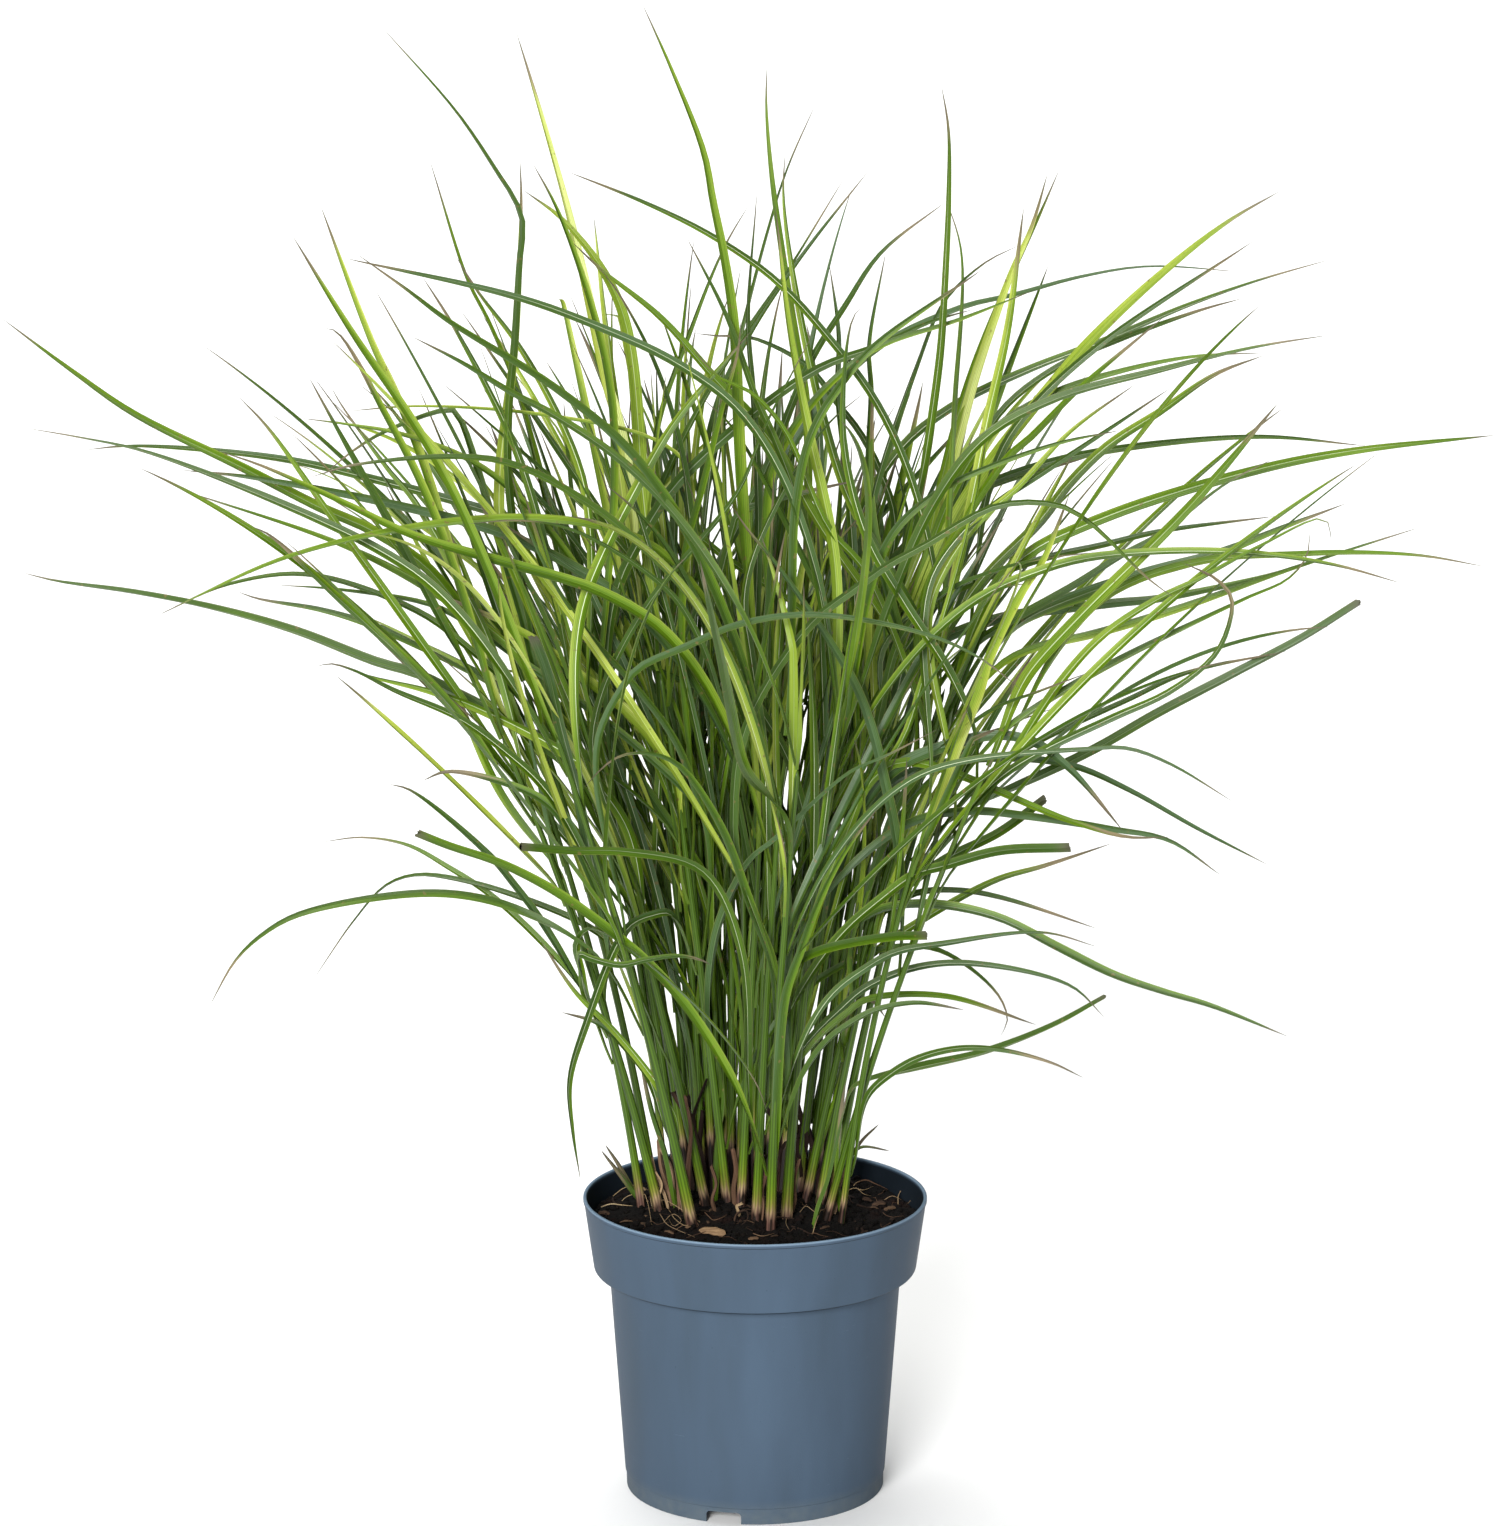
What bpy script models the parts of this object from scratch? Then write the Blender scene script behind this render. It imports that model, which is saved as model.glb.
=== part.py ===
"""A clump of fine-leaved maiden grass growing in a moulded nursery pot that stands on its foot ring.

Lengths are metres, +Z is up, and the origin is the middle of the pot's foot, at ground level.
The front of the plant faces -Y.
"""

import math
from dataclasses import dataclass

import bmesh
import bpy
import numpy as np

# Driving dimensions: the pot
POT_HEIGHT = 0.166
RIM_RADIUS = 0.0950
COLLAR_BOTTOM_RADIUS = 0.0891
COLLAR_BOTTOM_Z = 0.1250
BODY_TOP_RADIUS = 0.0808
BODY_BOTTOM_RADIUS = 0.0724
FOOT_RADIUS = 0.0716
FOOT_HEIGHT = 0.0090
WALL = 0.0015
RIM_WALL = 0.0018
FLOOR_THICKNESS = 0.0016
FLOOR_Z = 0.0088
LIP_ROUND = 0.0008
COLLAR_ROUND = 0.0018
STEP_ROUND = 0.0014
FOOT_ROUND = 0.0005
FOOT_WALL = 0.0024
POT_SIDES = 48
MERGE_DISTANCE = 1e-6

# The drain notches in the foot ring and the drainage holes in the floor
NOTCH_COUNT = 3
NOTCH_WIDTH = 0.0195
NOTCH_HEIGHT = 0.0065
NOTCH_ROUND = 0.0022
NOTCH_CUT = 0.010
NOTCH_AZIMUTH = math.radians(256.0)
DRAIN_HOLE_RADIUS = 0.0055
DRAIN_HOLE_RING = 0.0480
DRAIN_HOLE_COUNT = 6
DRAIN_HOLE_SIDES = 12

# Driving dimensions: the soil and the crown of the clump
GAP = 0.0003
SOIL_CLEAR = 0.00042
SOIL_EDGE_Z = 0.1515
SOIL_SIDES = 24
SOIL_RING_RADII = (0.080, 0.066, 0.052, 0.036, 0.018)
HEAP_CENTRE = (0.055, 0.055)
HEAP_HEIGHT = 0.005
HEAP_SPREAD = 0.022
CROWN_CENTRE = (-0.006, 0.012)
CROWN_HALF_WIDTH = 0.057
CROWN_HALF_DEPTH = 0.047
CROWN_Z = 0.158
SOIL_MOUND_RADIUS = 0.052
SOCKET_DEPTH = 0.010
SOCKET_CLEAR = 0.0008
SOCKET_TOP = 0.008

# Driving dimensions: the stems
STEM_SIDES = 6
STEM_SPANS = 7
STEM_TOP_RADIUS = 0.0013
STEM_TAPER = 0.8
STEM_SAMPLE = 0.002
OUTWARD_LEAN = 0.13
OUTWARD_BEND = 0.40
BACK_STEM_COUNT = 6
BACK_STEM_HEIGHT = 0.290
BACK_STEM_RADIUS = 0.0025
BACK_STEM_SWAY = 0.17
BACK_ARC = (math.radians(15.0), math.radians(165.0))
BACK_RING = 0.9

# Driving dimensions: the blades
BLADE_STATIONS = 13
BLADE_THICKNESS = 0.0008
BLADE_BASE_SHARE = 0.55
BLADE_FOLD = 0.24
BLADE_WIDENING_SHARE = 0.3
BLADE_NARROWING = 1.7
BLADE_THINNING = 0.5
BLADE_TURNING_SHARE = 0.4
DEPARTURE = math.radians(14.0)
FACING_DEPTH = 0.3
BRIDGE_SHARES = (0.15, 0.35, 0.6, 0.8)
CURVE_SAMPLES = 16

# The plant is set out from one front view. A point in that view is a pair of its pixels and stands
# for a line of sight from the eye; a depth along Y or a level along Z picks the place on the line.
EYE = np.array([-0.0028, -2.655, 0.952])
EYE_PITCH = math.radians(11.55)
FOCAL_PX = 4991.0
VIEW_CENTRE_PX = (750.0, 763.0)
VIEW_RIGHT = np.array([1.0, 0.0, 0.0])
VIEW_AHEAD = np.array([0.0, math.cos(EYE_PITCH), -math.sin(EYE_PITCH)])
VIEW_UP = np.array([0.0, math.sin(EYE_PITCH), math.cos(EYE_PITCH)])


@dataclass(frozen=True)
class Stem:
    """A shoot's stem: where it leaves the soil in the front view, its sideways lean and its size."""

    foot_px: tuple
    lean: float
    height: float
    radius: float


@dataclass(frozen=True)
class Blade:
    """A leaf blade: its stem, the height of its collar above the soil, how far its tip lies behind
    the pot's axis, its greatest width, how far its face turns to the front, and the points it
    passes in the front view from the stem to the tip."""

    name: str
    stem: int
    collar: float
    tip_depth: float
    width: float
    turn: float
    through_px: tuple


FRONT_STEMS = (
    Stem((641, 1203), -0.13, 0.250, 0.0024),
    Stem((659, 1209), -0.22, 0.270, 0.0026),
    Stem((692, 1223), -0.19, 0.285, 0.0030),
    Stem((706, 1205), -0.20, 0.300, 0.0026),
    Stem((727, 1202), -0.10, 0.300, 0.0027),
    Stem((741, 1206), 0.05, 0.290, 0.0026),
    Stem((756, 1220), 0.04, 0.250, 0.0026),
    Stem((770.5, 1227), 0.024, 0.270, 0.0029),
    Stem((786, 1217), 0.053, 0.290, 0.0029),
    Stem((799, 1192), 0.09, 0.310, 0.0026),
    Stem((806, 1201), 0.19, 0.290, 0.0025),
    Stem((821, 1202), 0.15, 0.280, 0.0025),
    Stem((827, 1217), 0.24, 0.260, 0.0022),
    Stem((842, 1219), 0.10, 0.220, 0.0019),
)

BLADES = (
    # The crown of upright blades
    Blade("leaf_top_left", 20, 0.250, -0.06, 0.0070, 60,
          ((509, 402), (514, 348), (520, 228), (510, 193), (458, 115), (380, 25))),
    Blade("leaf_tall_gold", 5, 0.300, 0.10, 0.0065, 65,
          ((617, 418), (608, 388), (584, 281), (568, 214), (546, 134), (516, 31))),
    Blade("leaf_tallest", 6, 0.290, -0.07, 0.0065, 60,
          ((738, 418), (733, 321), (723, 254), (712, 201), (703, 153), (672, 72), (641, 1))),
    Blade("leaf_centre_spire", 17, 0.290, 0.15, 0.0060, 70,
          ((806, 402), (795, 335), (782, 254), (771, 174), (766, 107), (767, 63))),
    Blade("leaf_centre_fork", 18, 0.290, 0.18, 0.0040, 50,
          ((742, 335), (766, 241), (787, 171), (816, 103))),
    Blade("leaf_right_spire", 10, 0.310, -0.08, 0.0045, 50,
          ((932, 412), (940, 348), (945, 268), (948, 198), (948, 129), (941, 83))),
    Blade("leaf_right_pale", 16, 0.290, 0.07, 0.0065, 65,
          ((960, 430), (976, 373), (1011, 274), (1032, 226), (1048, 172))),
    # The upper left
    Blade("leaf_upper_left_low", 3, 0.280, -0.08, 0.0050, 55,
          ((407, 412), (354, 335), (292, 235))),
    Blade("leaf_upper_left_mid", 1, 0.240, 0.03, 0.0050, 50,
          ((394, 388), (375, 348), (348, 279), (320, 204))),
    Blade("leaf_upper_left_high", 19, 0.290, 0.12, 0.0050, 50,
          ((487, 321), (466, 279), (450, 230), (429, 158))),
    Blade("leaf_left_sweep", 7, 0.240, -0.14, 0.0050, 40,
          ((554, 386), (487, 345), (447, 319), (407, 289), (354, 252))),
    # The left
    Blade("leaf_far_left_high", 20, 0.220, 0.00, 0.0060, 50,
          ((375, 532), (321, 508), (241, 467), (187, 441), (134, 414), (72, 371), (0, 317))),
    Blade("leaf_far_left_mid", 3, 0.260, -0.04, 0.0055, 45,
          ((375, 548), (295, 510), (214, 477), (147, 453), (80, 438), (25, 428))),
    Blade("leaf_far_left_low", 4, 0.200, 0.02, 0.0065, 55,
          ((568, 771), (515, 731), (421, 677), (375, 663), (295, 632), (214, 609), (134, 593),
           (54, 581), (20, 572))),
    Blade("leaf_left_arch", 6, 0.260, -0.10, 0.0050, 40,
          ((600, 527), (538, 519), (470, 521), (402, 530), (335, 544), (268, 565), (214, 589),
           (157, 616))),
    Blade("leaf_left_steep", 2, 0.220, -0.04, 0.0055, 50,
          ((420, 674), (348, 607), (295, 556), (268, 534), (250, 526))),
    # The lower left
    Blade("leaf_droop_left", 3, 0.110, -0.01, 0.0050, 40,
          ((582, 945), (542, 921), (488, 900), (421, 893), (354, 900), (300, 913), (260, 935),
           (234, 961), (209, 1007))),
    Blade("leaf_droop_left_short", 4, 0.080, 0.06, 0.0040, 35,
          ((582, 924), (528, 901), (461, 881), (416, 876), (386, 886), (354, 921), (313, 980))),
    Blade("leaf_low_left_arch", 1, 0.080, 0.07, 0.0045, 40,
          ((568, 972), (528, 929), (488, 894), (448, 868), (408, 846), (362, 838), (322, 842))),
    Blade("leaf_mid_left_arch", 3, 0.190, -0.09, 0.0050, 40,
          ((515, 760), (461, 720), (394, 691), (354, 671), (330, 664), (315, 667))),
    Blade("leaf_front_droop", 5, 0.130, -0.15, 0.0050, 50,
          ((655, 915), (628, 928), (603, 976), (584, 1029), (569, 1082), (572, 1131), (581, 1184))),
    # The upper right
    Blade("leaf_folded_gold", 10, 0.280, 0.05, 0.0075, 60,
          ((995, 456), (1048, 389), (1091, 339), (1121, 309), (1166, 269), (1228, 221),
           (1282, 190))),
    Blade("leaf_upper_right_long", 17, 0.270, 0.12, 0.0055, 45,
          ((960, 403), (1027, 371), (1110, 339), (1188, 306), (1255, 282), (1332, 259))),
    Blade("leaf_right_arch", 18, 0.250, 0.18, 0.0050, 40,
          ((960, 309), (1014, 296), (1080, 278), (1147, 267), (1201, 269), (1244, 272))),
    Blade("leaf_upper_right_mid", 9, 0.270, -0.08, 0.0055, 45,
          ((1054, 400), (1161, 371), (1255, 348), (1330, 335))),
    # The right
    Blade("leaf_far_right_high", 11, 0.240, 0.03, 0.0060, 50,
          ((1040, 546), (1069, 532), (1143, 503), (1216, 481), (1275, 465), (1363, 449),
           (1497, 435))),
    Blade("leaf_far_right_low", 13, 0.240, -0.04, 0.0050, 40,
          ((1150, 575), (1216, 559), (1289, 555), (1348, 553), (1421, 556), (1487, 567))),
    Blade("leaf_right_dark_wide", 15, 0.270, 0.05, 0.0075, 60,
          ((1040, 612), (1143, 574), (1216, 553), (1289, 524), (1347, 503))),
    Blade("leaf_hooked", 13, 0.210, -0.09, 0.0045, 40,
          ((1157, 600), (1201, 579), (1260, 547), (1304, 524), (1322, 519), (1330, 527),
           (1329, 546))),
    Blade("leaf_right_low_long", 15, 0.190, 0.02, 0.0060, 55,
          ((1040, 776), (1099, 747), (1157, 714), (1231, 676), (1304, 638), (1360, 603))),
    Blade("leaf_red_curl", 14, 0.180, -0.08, 0.0040, 40,
          ((1040, 752), (1113, 717), (1169, 691), (1192, 676), (1213, 656), (1228, 626),
           (1231, 597), (1216, 579), (1181, 562))),
    # The lower right
    Blade("leaf_low_right_short", 8, 0.160, -0.12, 0.0045, 40,
          ((972, 760), (1084, 750), (1127, 749), (1169, 764), (1235, 803))),
    Blade("leaf_low_right_long", 9, 0.140, 0.05, 0.0050, 45,
          ((930, 767), (1000, 759), (1070, 766), (1127, 790), (1197, 829), (1270, 866))),
    Blade("leaf_cut_right", 12, 0.045, 0.06, 0.0060, 50,
          ((860, 1084), (916, 1068), (986, 1052), (1056, 1025), (1105, 998))),
    Blade("leaf_big_dark_low", 11, 0.090, -0.05, 0.0065, 50,
          ((877, 912), (902, 906), (944, 906), (1000, 919), (1056, 947), (1113, 975),
           (1163, 992), (1211, 1006), (1289, 1037))),
    Blade("leaf_lowest_right", 14, 0.025, -0.08, 0.0045, 40,
          ((884, 1079), (916, 1059), (958, 1048), (1000, 1049), (1051, 1062), (1084, 1078))),
    # The furthest reach to the front and to the back
    Blade("leaf_front_reach", 8, 0.220, -0.36, 0.0065, 10,
          ((742, 760), (722, 660), (700, 560))),
    Blade("leaf_back_reach", 17, 0.240, 0.36, 0.0065, 10,
          ((812, 560), (822, 480), (830, 420))),
)


def sight_line(point_px):
    """The direction in which the eye sees a point of the front view."""
    across = (point_px[0] - VIEW_CENTRE_PX[0]) / FOCAL_PX
    up = (VIEW_CENTRE_PX[1] - point_px[1]) / FOCAL_PX
    return VIEW_AHEAD + across * VIEW_RIGHT + up * VIEW_UP


def at_depth(point_px, depth):
    """The place behind a point of the front view whose Y is depth."""
    line = sight_line(point_px)
    return EYE + (depth - EYE[1]) / line[1] * line


def at_level(point_px, level):
    """The place behind a point of the front view whose Z is level."""
    line = sight_line(point_px)
    return EYE + (level - EYE[2]) / line[2] * line


def in_view(place):
    """The point of the front view, in its pixels, where the eye sees a place."""
    offset = np.asarray(place) - EYE
    ahead = offset @ VIEW_AHEAD
    across = FOCAL_PX * (offset @ VIEW_RIGHT) / ahead
    up = FOCAL_PX * (offset @ VIEW_UP) / ahead
    return np.array([VIEW_CENTRE_PX[0] + across, VIEW_CENTRE_PX[1] - up])


def unit(vector):
    """The vector scaled to length one."""
    return vector / np.linalg.norm(vector)


def smooth_step(share):
    """A share from 0 to 1 eased at both ends."""
    share = min(max(share, 0.0), 1.0)
    return share * share * (3.0 - 2.0 * share)


def smooth_curve(points, count):
    """Count places spaced evenly along a centripetal Catmull-Rom curve through the points."""
    points = [np.asarray(p, float) for p in points]
    ends = [2 * points[0] - points[1], *points, 2 * points[-1] - points[-2]]
    dense = []
    for a, b, c, d in zip(ends, ends[1:], ends[2:], ends[3:]):
        knots = [0.0]
        for start, end in ((a, b), (b, c), (c, d)):
            knots.append(knots[-1] + math.sqrt(np.linalg.norm(end - start)))
        t0, t1, t2, t3 = knots
        for t in np.linspace(t1, t2, CURVE_SAMPLES, endpoint=False):
            ab = ((t1 - t) * a + (t - t0) * b) / (t1 - t0)
            bc = ((t2 - t) * b + (t - t1) * c) / (t2 - t1)
            cd = ((t3 - t) * c + (t - t2) * d) / (t3 - t2)
            abc = ((t2 - t) * ab + (t - t0) * bc) / (t2 - t0)
            bcd = ((t3 - t) * bc + (t - t1) * cd) / (t3 - t1)
            dense.append(((t2 - t) * abc + (t - t1) * bcd) / (t2 - t1))
    dense.append(points[-1])
    dense = np.array(dense)
    run = np.concatenate([[0.0], np.cumsum(np.linalg.norm(np.diff(dense, axis=0), axis=1))])
    wanted = np.linspace(0.0, run[-1], count)
    return np.column_stack([np.interp(wanted, run, dense[:, axis]) for axis in range(3)])


def material(name, colour, roughness):
    """A plain plastic-like or plant-like surface finish."""
    made = bpy.data.materials.new(name)
    made.use_nodes = True
    shader = made.node_tree.nodes["Principled BSDF"]
    shader.inputs["Base Color"].default_value = (*colour, 1.0)
    shader.inputs["Roughness"].default_value = roughness
    shader.inputs["Metallic"].default_value = 0.0
    return made


def add_object(name, mesh, finish, smooth_angle=math.radians(35.0)):
    """Puts a mesh in the scene as a smooth-shaded object with sharp edges past the angle."""
    mesh.materials.append(finish)
    mesh.shade_smooth()
    mesh.set_sharp_from_angle(angle=smooth_angle)
    made = bpy.data.objects.new(name, mesh)
    bpy.context.scene.collection.objects.link(made)
    return made


def mesh_of(name, work):
    """A mesh made from a bmesh, with its faces turned outwards."""
    bmesh.ops.recalc_face_normals(work, faces=work.faces)
    mesh = bpy.data.meshes.new(name)
    work.to_mesh(mesh)
    work.free()
    return mesh


def lofted(name, rings):
    """A closed mesh through rings of equal length, with flat ends."""
    work = bmesh.new()
    rows = [[work.verts.new(corner) for corner in ring] for ring in rings]
    for low, high in zip(rows, rows[1:]):
        for k in range(len(low)):
            after = (k + 1) % len(low)
            work.faces.new((low[k], low[after], high[after], high[k]))
    work.faces.new(rows[0][::-1])
    work.faces.new(rows[-1])
    return mesh_of(name, work)


def folded_strip(name, rings, tip):
    """A closed pointed mesh through rings of margin, upper middle, other margin and lower middle.

    Each face is split from its margin to the next ring's middle, on both sides alike, so that the
    upper and the lower side of a twisted wing stay apart.
    """
    work = bmesh.new()
    rows = [[work.verts.new(corner) for corner in ring] for ring in rings]
    for low, high in zip(rows, rows[1:]):
        for margin, middle in ((0, 1), (0, 3), (2, 1), (2, 3)):
            work.faces.new((low[margin], low[middle], high[middle]))
            work.faces.new((low[margin], high[middle], high[margin]))
    for wing in ((0, 1, 3), (2, 3, 1)):
        work.faces.new([rows[0][k] for k in wing])
    point = work.verts.new(tip)
    for margin, middle in ((0, 1), (0, 3), (2, 1), (2, 3)):
        work.faces.new((rows[-1][margin], rows[-1][middle], point))
    return mesh_of(name, work)


def cut_away(target, cutter):
    """Subtracts a cutter from an object, and keeps the cutter out of sight."""
    cutter.hide_render = True
    cutter.display_type = "WIRE"
    cut = target.modifiers.new("cut_" + cutter.name, "BOOLEAN")
    cut.operation = "DIFFERENCE"
    cut.solver = "EXACT"
    cut.object = cutter


def pot_profile():
    """The pot's wall, floor and collar as one closed outline, down the outside and up the inside,
    from the floor's underside at the axis round to its upper side at the axis."""
    inside_rim = RIM_RADIUS - RIM_WALL
    inside_collar = COLLAR_BOTTOM_RADIUS - WALL
    inside_body = BODY_TOP_RADIUS - WALL
    shelf_z = COLLAR_BOTTOM_Z + WALL
    floor_top = FLOOR_Z + FLOOR_THICKNESS
    return [
        (0.0, floor_top),
        (BODY_BOTTOM_RADIUS - WALL - FOOT_ROUND, floor_top),
        (inside_body, COLLAR_BOTTOM_Z - STEP_ROUND),
        (inside_body + STEP_ROUND / 2, shelf_z - STEP_ROUND / 2),
        (inside_collar - STEP_ROUND, shelf_z),
        (inside_collar, shelf_z + STEP_ROUND),
        (inside_rim, POT_HEIGHT - LIP_ROUND),
        (inside_rim + LIP_ROUND / 2, POT_HEIGHT),
        (RIM_RADIUS - LIP_ROUND / 2, POT_HEIGHT),
        (RIM_RADIUS, POT_HEIGHT - LIP_ROUND),
        (COLLAR_BOTTOM_RADIUS + GAP, COLLAR_BOTTOM_Z + COLLAR_ROUND),
        (COLLAR_BOTTOM_RADIUS - COLLAR_ROUND / 4, COLLAR_BOTTOM_Z + COLLAR_ROUND / 4),
        (COLLAR_BOTTOM_RADIUS - COLLAR_ROUND, COLLAR_BOTTOM_Z),
        (BODY_TOP_RADIUS + STEP_ROUND / 4, COLLAR_BOTTOM_Z - STEP_ROUND / 4),
        (BODY_TOP_RADIUS, COLLAR_BOTTOM_Z - STEP_ROUND),
        (BODY_BOTTOM_RADIUS, FOOT_HEIGHT + FOOT_ROUND),
        (FOOT_RADIUS + FOOT_ROUND / 2, FOOT_HEIGHT),
        (FOOT_RADIUS, FOOT_ROUND),
        (FOOT_RADIUS - FOOT_ROUND, 0.0),
        (FOOT_RADIUS - FOOT_WALL + FOOT_ROUND, 0.0),
        (FOOT_RADIUS - FOOT_WALL, FLOOR_Z),
        (0.0, FLOOR_Z),
    ]


def turned(name, outline, sides):
    """A closed round mesh made by turning an outline that starts and ends on the axis."""
    work = bmesh.new()
    corners = [work.verts.new((radius, 0.0, height)) for radius, height in outline]
    edges = [work.edges.new(pair) for pair in zip(corners, corners[1:])]
    bmesh.ops.spin(work, geom=corners + edges, cent=(0, 0, 0), axis=(0, 0, 1),
                   angle=2 * math.pi, steps=sides, use_merge=True)
    bmesh.ops.remove_doubles(work, verts=work.verts, dist=MERGE_DISTANCE)
    return mesh_of(name, work)


def make_notch(name, azimuth, finish):
    """A cutter for a drain notch: a block across the foot ring with rounded upper edges."""
    work = bmesh.new()
    bmesh.ops.create_cube(work, size=1.0)
    bmesh.ops.scale(work, verts=work.verts, vec=(NOTCH_CUT, NOTCH_WIDTH, 2 * NOTCH_HEIGHT))
    upper = [edge for edge in work.edges if all(corner.co.z > 0 for corner in edge.verts)
             and abs(edge.verts[0].co.x - edge.verts[1].co.x) > NOTCH_CUT / 2]
    bmesh.ops.bevel(work, geom=upper, offset=NOTCH_ROUND, segments=2, affect="EDGES")
    notch = add_object(name, mesh_of(name, work), finish)
    middle = FOOT_RADIUS - FOOT_WALL / 2
    notch.location = (middle * math.cos(azimuth), middle * math.sin(azimuth), 0.0)
    notch.rotation_euler = (0.0, 0.0, azimuth)
    return notch


def make_pot(finish):
    """The pot, with its drain notches and drainage holes cut."""
    pot = add_object("pot", turned("pot", pot_profile(), POT_SIDES), finish)

    for k in range(NOTCH_COUNT):
        azimuth = NOTCH_AZIMUTH + k * 2 * math.pi / NOTCH_COUNT
        cut_away(pot, make_notch(f"notch_{k + 1}", azimuth, finish))

    for k in range(DRAIN_HOLE_COUNT + 1):
        azimuth = k * 2 * math.pi / DRAIN_HOLE_COUNT
        ring = DRAIN_HOLE_RING if k < DRAIN_HOLE_COUNT else 0.0
        name = f"drain_{k + 1}"
        work = bmesh.new()
        bmesh.ops.create_cone(work, cap_ends=True, segments=DRAIN_HOLE_SIDES, depth=4 * FLOOR_THICKNESS,
                              radius1=DRAIN_HOLE_RADIUS, radius2=DRAIN_HOLE_RADIUS)
        hole = add_object(name, mesh_of(name, work), finish)
        hole.location = (ring * math.cos(azimuth), ring * math.sin(azimuth),
                         FLOOR_Z + FLOOR_THICKNESS / 2)
        cut_away(pot, hole)
    return pot


def soil_height(x, y):
    """The level of the soil's surface: a low mound under the clump, and a heap at the back right."""
    away = math.hypot(x - CROWN_CENTRE[0], y - CROWN_CENTRE[1]) / SOIL_MOUND_RADIUS
    mound = (CROWN_Z - SOIL_EDGE_Z) * math.exp(-(away ** 4) / 4)
    aside = math.hypot(x - HEAP_CENTRE[0], y - HEAP_CENTRE[1]) / HEAP_SPREAD
    heap = HEAP_HEIGHT * math.exp(-(aside ** 2))
    return SOIL_EDGE_Z + max(mound, heap)


def soil_profile():
    """The root ball's outline a hair's gap inside the pot, from its foot up and in to the axis."""
    foot_z = FLOOR_Z + FLOOR_THICKNESS + SOIL_CLEAR
    shelf_z = COLLAR_BOTTOM_Z + WALL + SOIL_CLEAR
    body = BODY_TOP_RADIUS - WALL - SOIL_CLEAR
    collar = COLLAR_BOTTOM_RADIUS - WALL - SOIL_CLEAR
    rim = RIM_RADIUS - RIM_WALL - SOIL_CLEAR
    collar_z = shelf_z + STEP_ROUND
    edge = collar + (rim - collar) * (SOIL_EDGE_Z - collar_z) / (POT_HEIGHT - collar_z)
    return [
        (0.0, foot_z),
        (BODY_BOTTOM_RADIUS - WALL - FOOT_ROUND - SOIL_CLEAR, foot_z),
        (body, COLLAR_BOTTOM_Z - STEP_ROUND),
        (body + STEP_ROUND / 2, shelf_z),
        (collar - STEP_ROUND, shelf_z),
        (collar, collar_z),
        (edge, SOIL_EDGE_Z),
        *((radius, SOIL_EDGE_Z) for radius in SOIL_RING_RADII),
        (0.0, SOIL_EDGE_Z),
    ]


def make_soil(finish, stems):
    """The root ball: it fills the pot to a hair's gap, with a socket for each stem."""
    mesh = turned("soil", soil_profile(), SOIL_SIDES)
    for corner in mesh.vertices:
        inside = math.hypot(corner.co.x, corner.co.y) < SOIL_RING_RADII[0] + MERGE_DISTANCE
        if inside and corner.co.z > SOIL_EDGE_Z - MERGE_DISTANCE:
            corner.co.z = soil_height(corner.co.x, corner.co.y)
    soil = add_object("soil", mesh, finish)

    for number, stem in enumerate(stems, start=1):
        name = f"socket_{number:02d}"
        low = stem.axis(-SOCKET_DEPTH - GAP)
        high = stem.axis(SOCKET_TOP)
        rings = [round_ring(place, high - low, stem.radius + SOCKET_CLEAR, STEM_SIDES)
                 for place in (low, high)]
        cut_away(soil, add_object(name, lofted(name, rings), finish))
    return soil


def round_ring(centre, along, radius, sides):
    """The corners of a regular ring about a centre, square to the direction along."""
    along = unit(along)
    across = unit(np.cross(along, (0.0, 1.0, 0.0)))
    deep = np.cross(along, across)
    return [centre + radius * (math.cos(a) * across + math.sin(a) * deep)
            for a in np.linspace(0.0, 2 * math.pi, sides, endpoint=False)]


class PlantedStem:
    """A stem in its place: its foot on the soil and the way it leans out of the clump."""

    def __init__(self, foot, lean, height, radius):
        """Stands the stem at foot, leaning sideways by lean and outwards by its place."""
        self.foot = np.array([foot[0], foot[1], CROWN_Z])
        self.lean = lean
        self.height = height
        self.radius = radius
        self.out = (self.foot[:2] - CROWN_CENTRE) / (CROWN_HALF_WIDTH, CROWN_HALF_DEPTH)

    def axis(self, up):
        """The middle of the stem at a height above the soil."""
        bend = OUTWARD_BEND * up * abs(up)
        across = self.lean * up + self.out[0] * bend
        deep = self.out[1] * (OUTWARD_LEAN * up + bend)
        return self.foot + np.array([across, deep, up])

    def heading(self, up):
        """The direction in which the stem grows at a height above the soil."""
        return unit(self.axis(up + STEM_SAMPLE) - self.axis(up - STEM_SAMPLE))

    def thickness(self, up):
        """The stem's radius at a height above the soil."""
        share = max(up, 0.0) / self.height
        return self.radius + (STEM_TOP_RADIUS - self.radius) * share ** STEM_TAPER


def plant_stems():
    """The stems seen from the front, then those on an arc behind them."""
    planted = []
    for stem in FRONT_STEMS:
        foot = at_level(stem.foot_px, CROWN_Z)
        planted.append(PlantedStem(foot, stem.lean, stem.height, stem.radius))
    for azimuth in np.linspace(*BACK_ARC, BACK_STEM_COUNT):
        across = BACK_RING * math.cos(azimuth)
        foot = (CROWN_CENTRE[0] + across * CROWN_HALF_WIDTH,
                CROWN_CENTRE[1] + BACK_RING * math.sin(azimuth) * CROWN_HALF_DEPTH)
        planted.append(PlantedStem(foot, BACK_STEM_SWAY * across, BACK_STEM_HEIGHT,
                                   BACK_STEM_RADIUS))
    return planted


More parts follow.
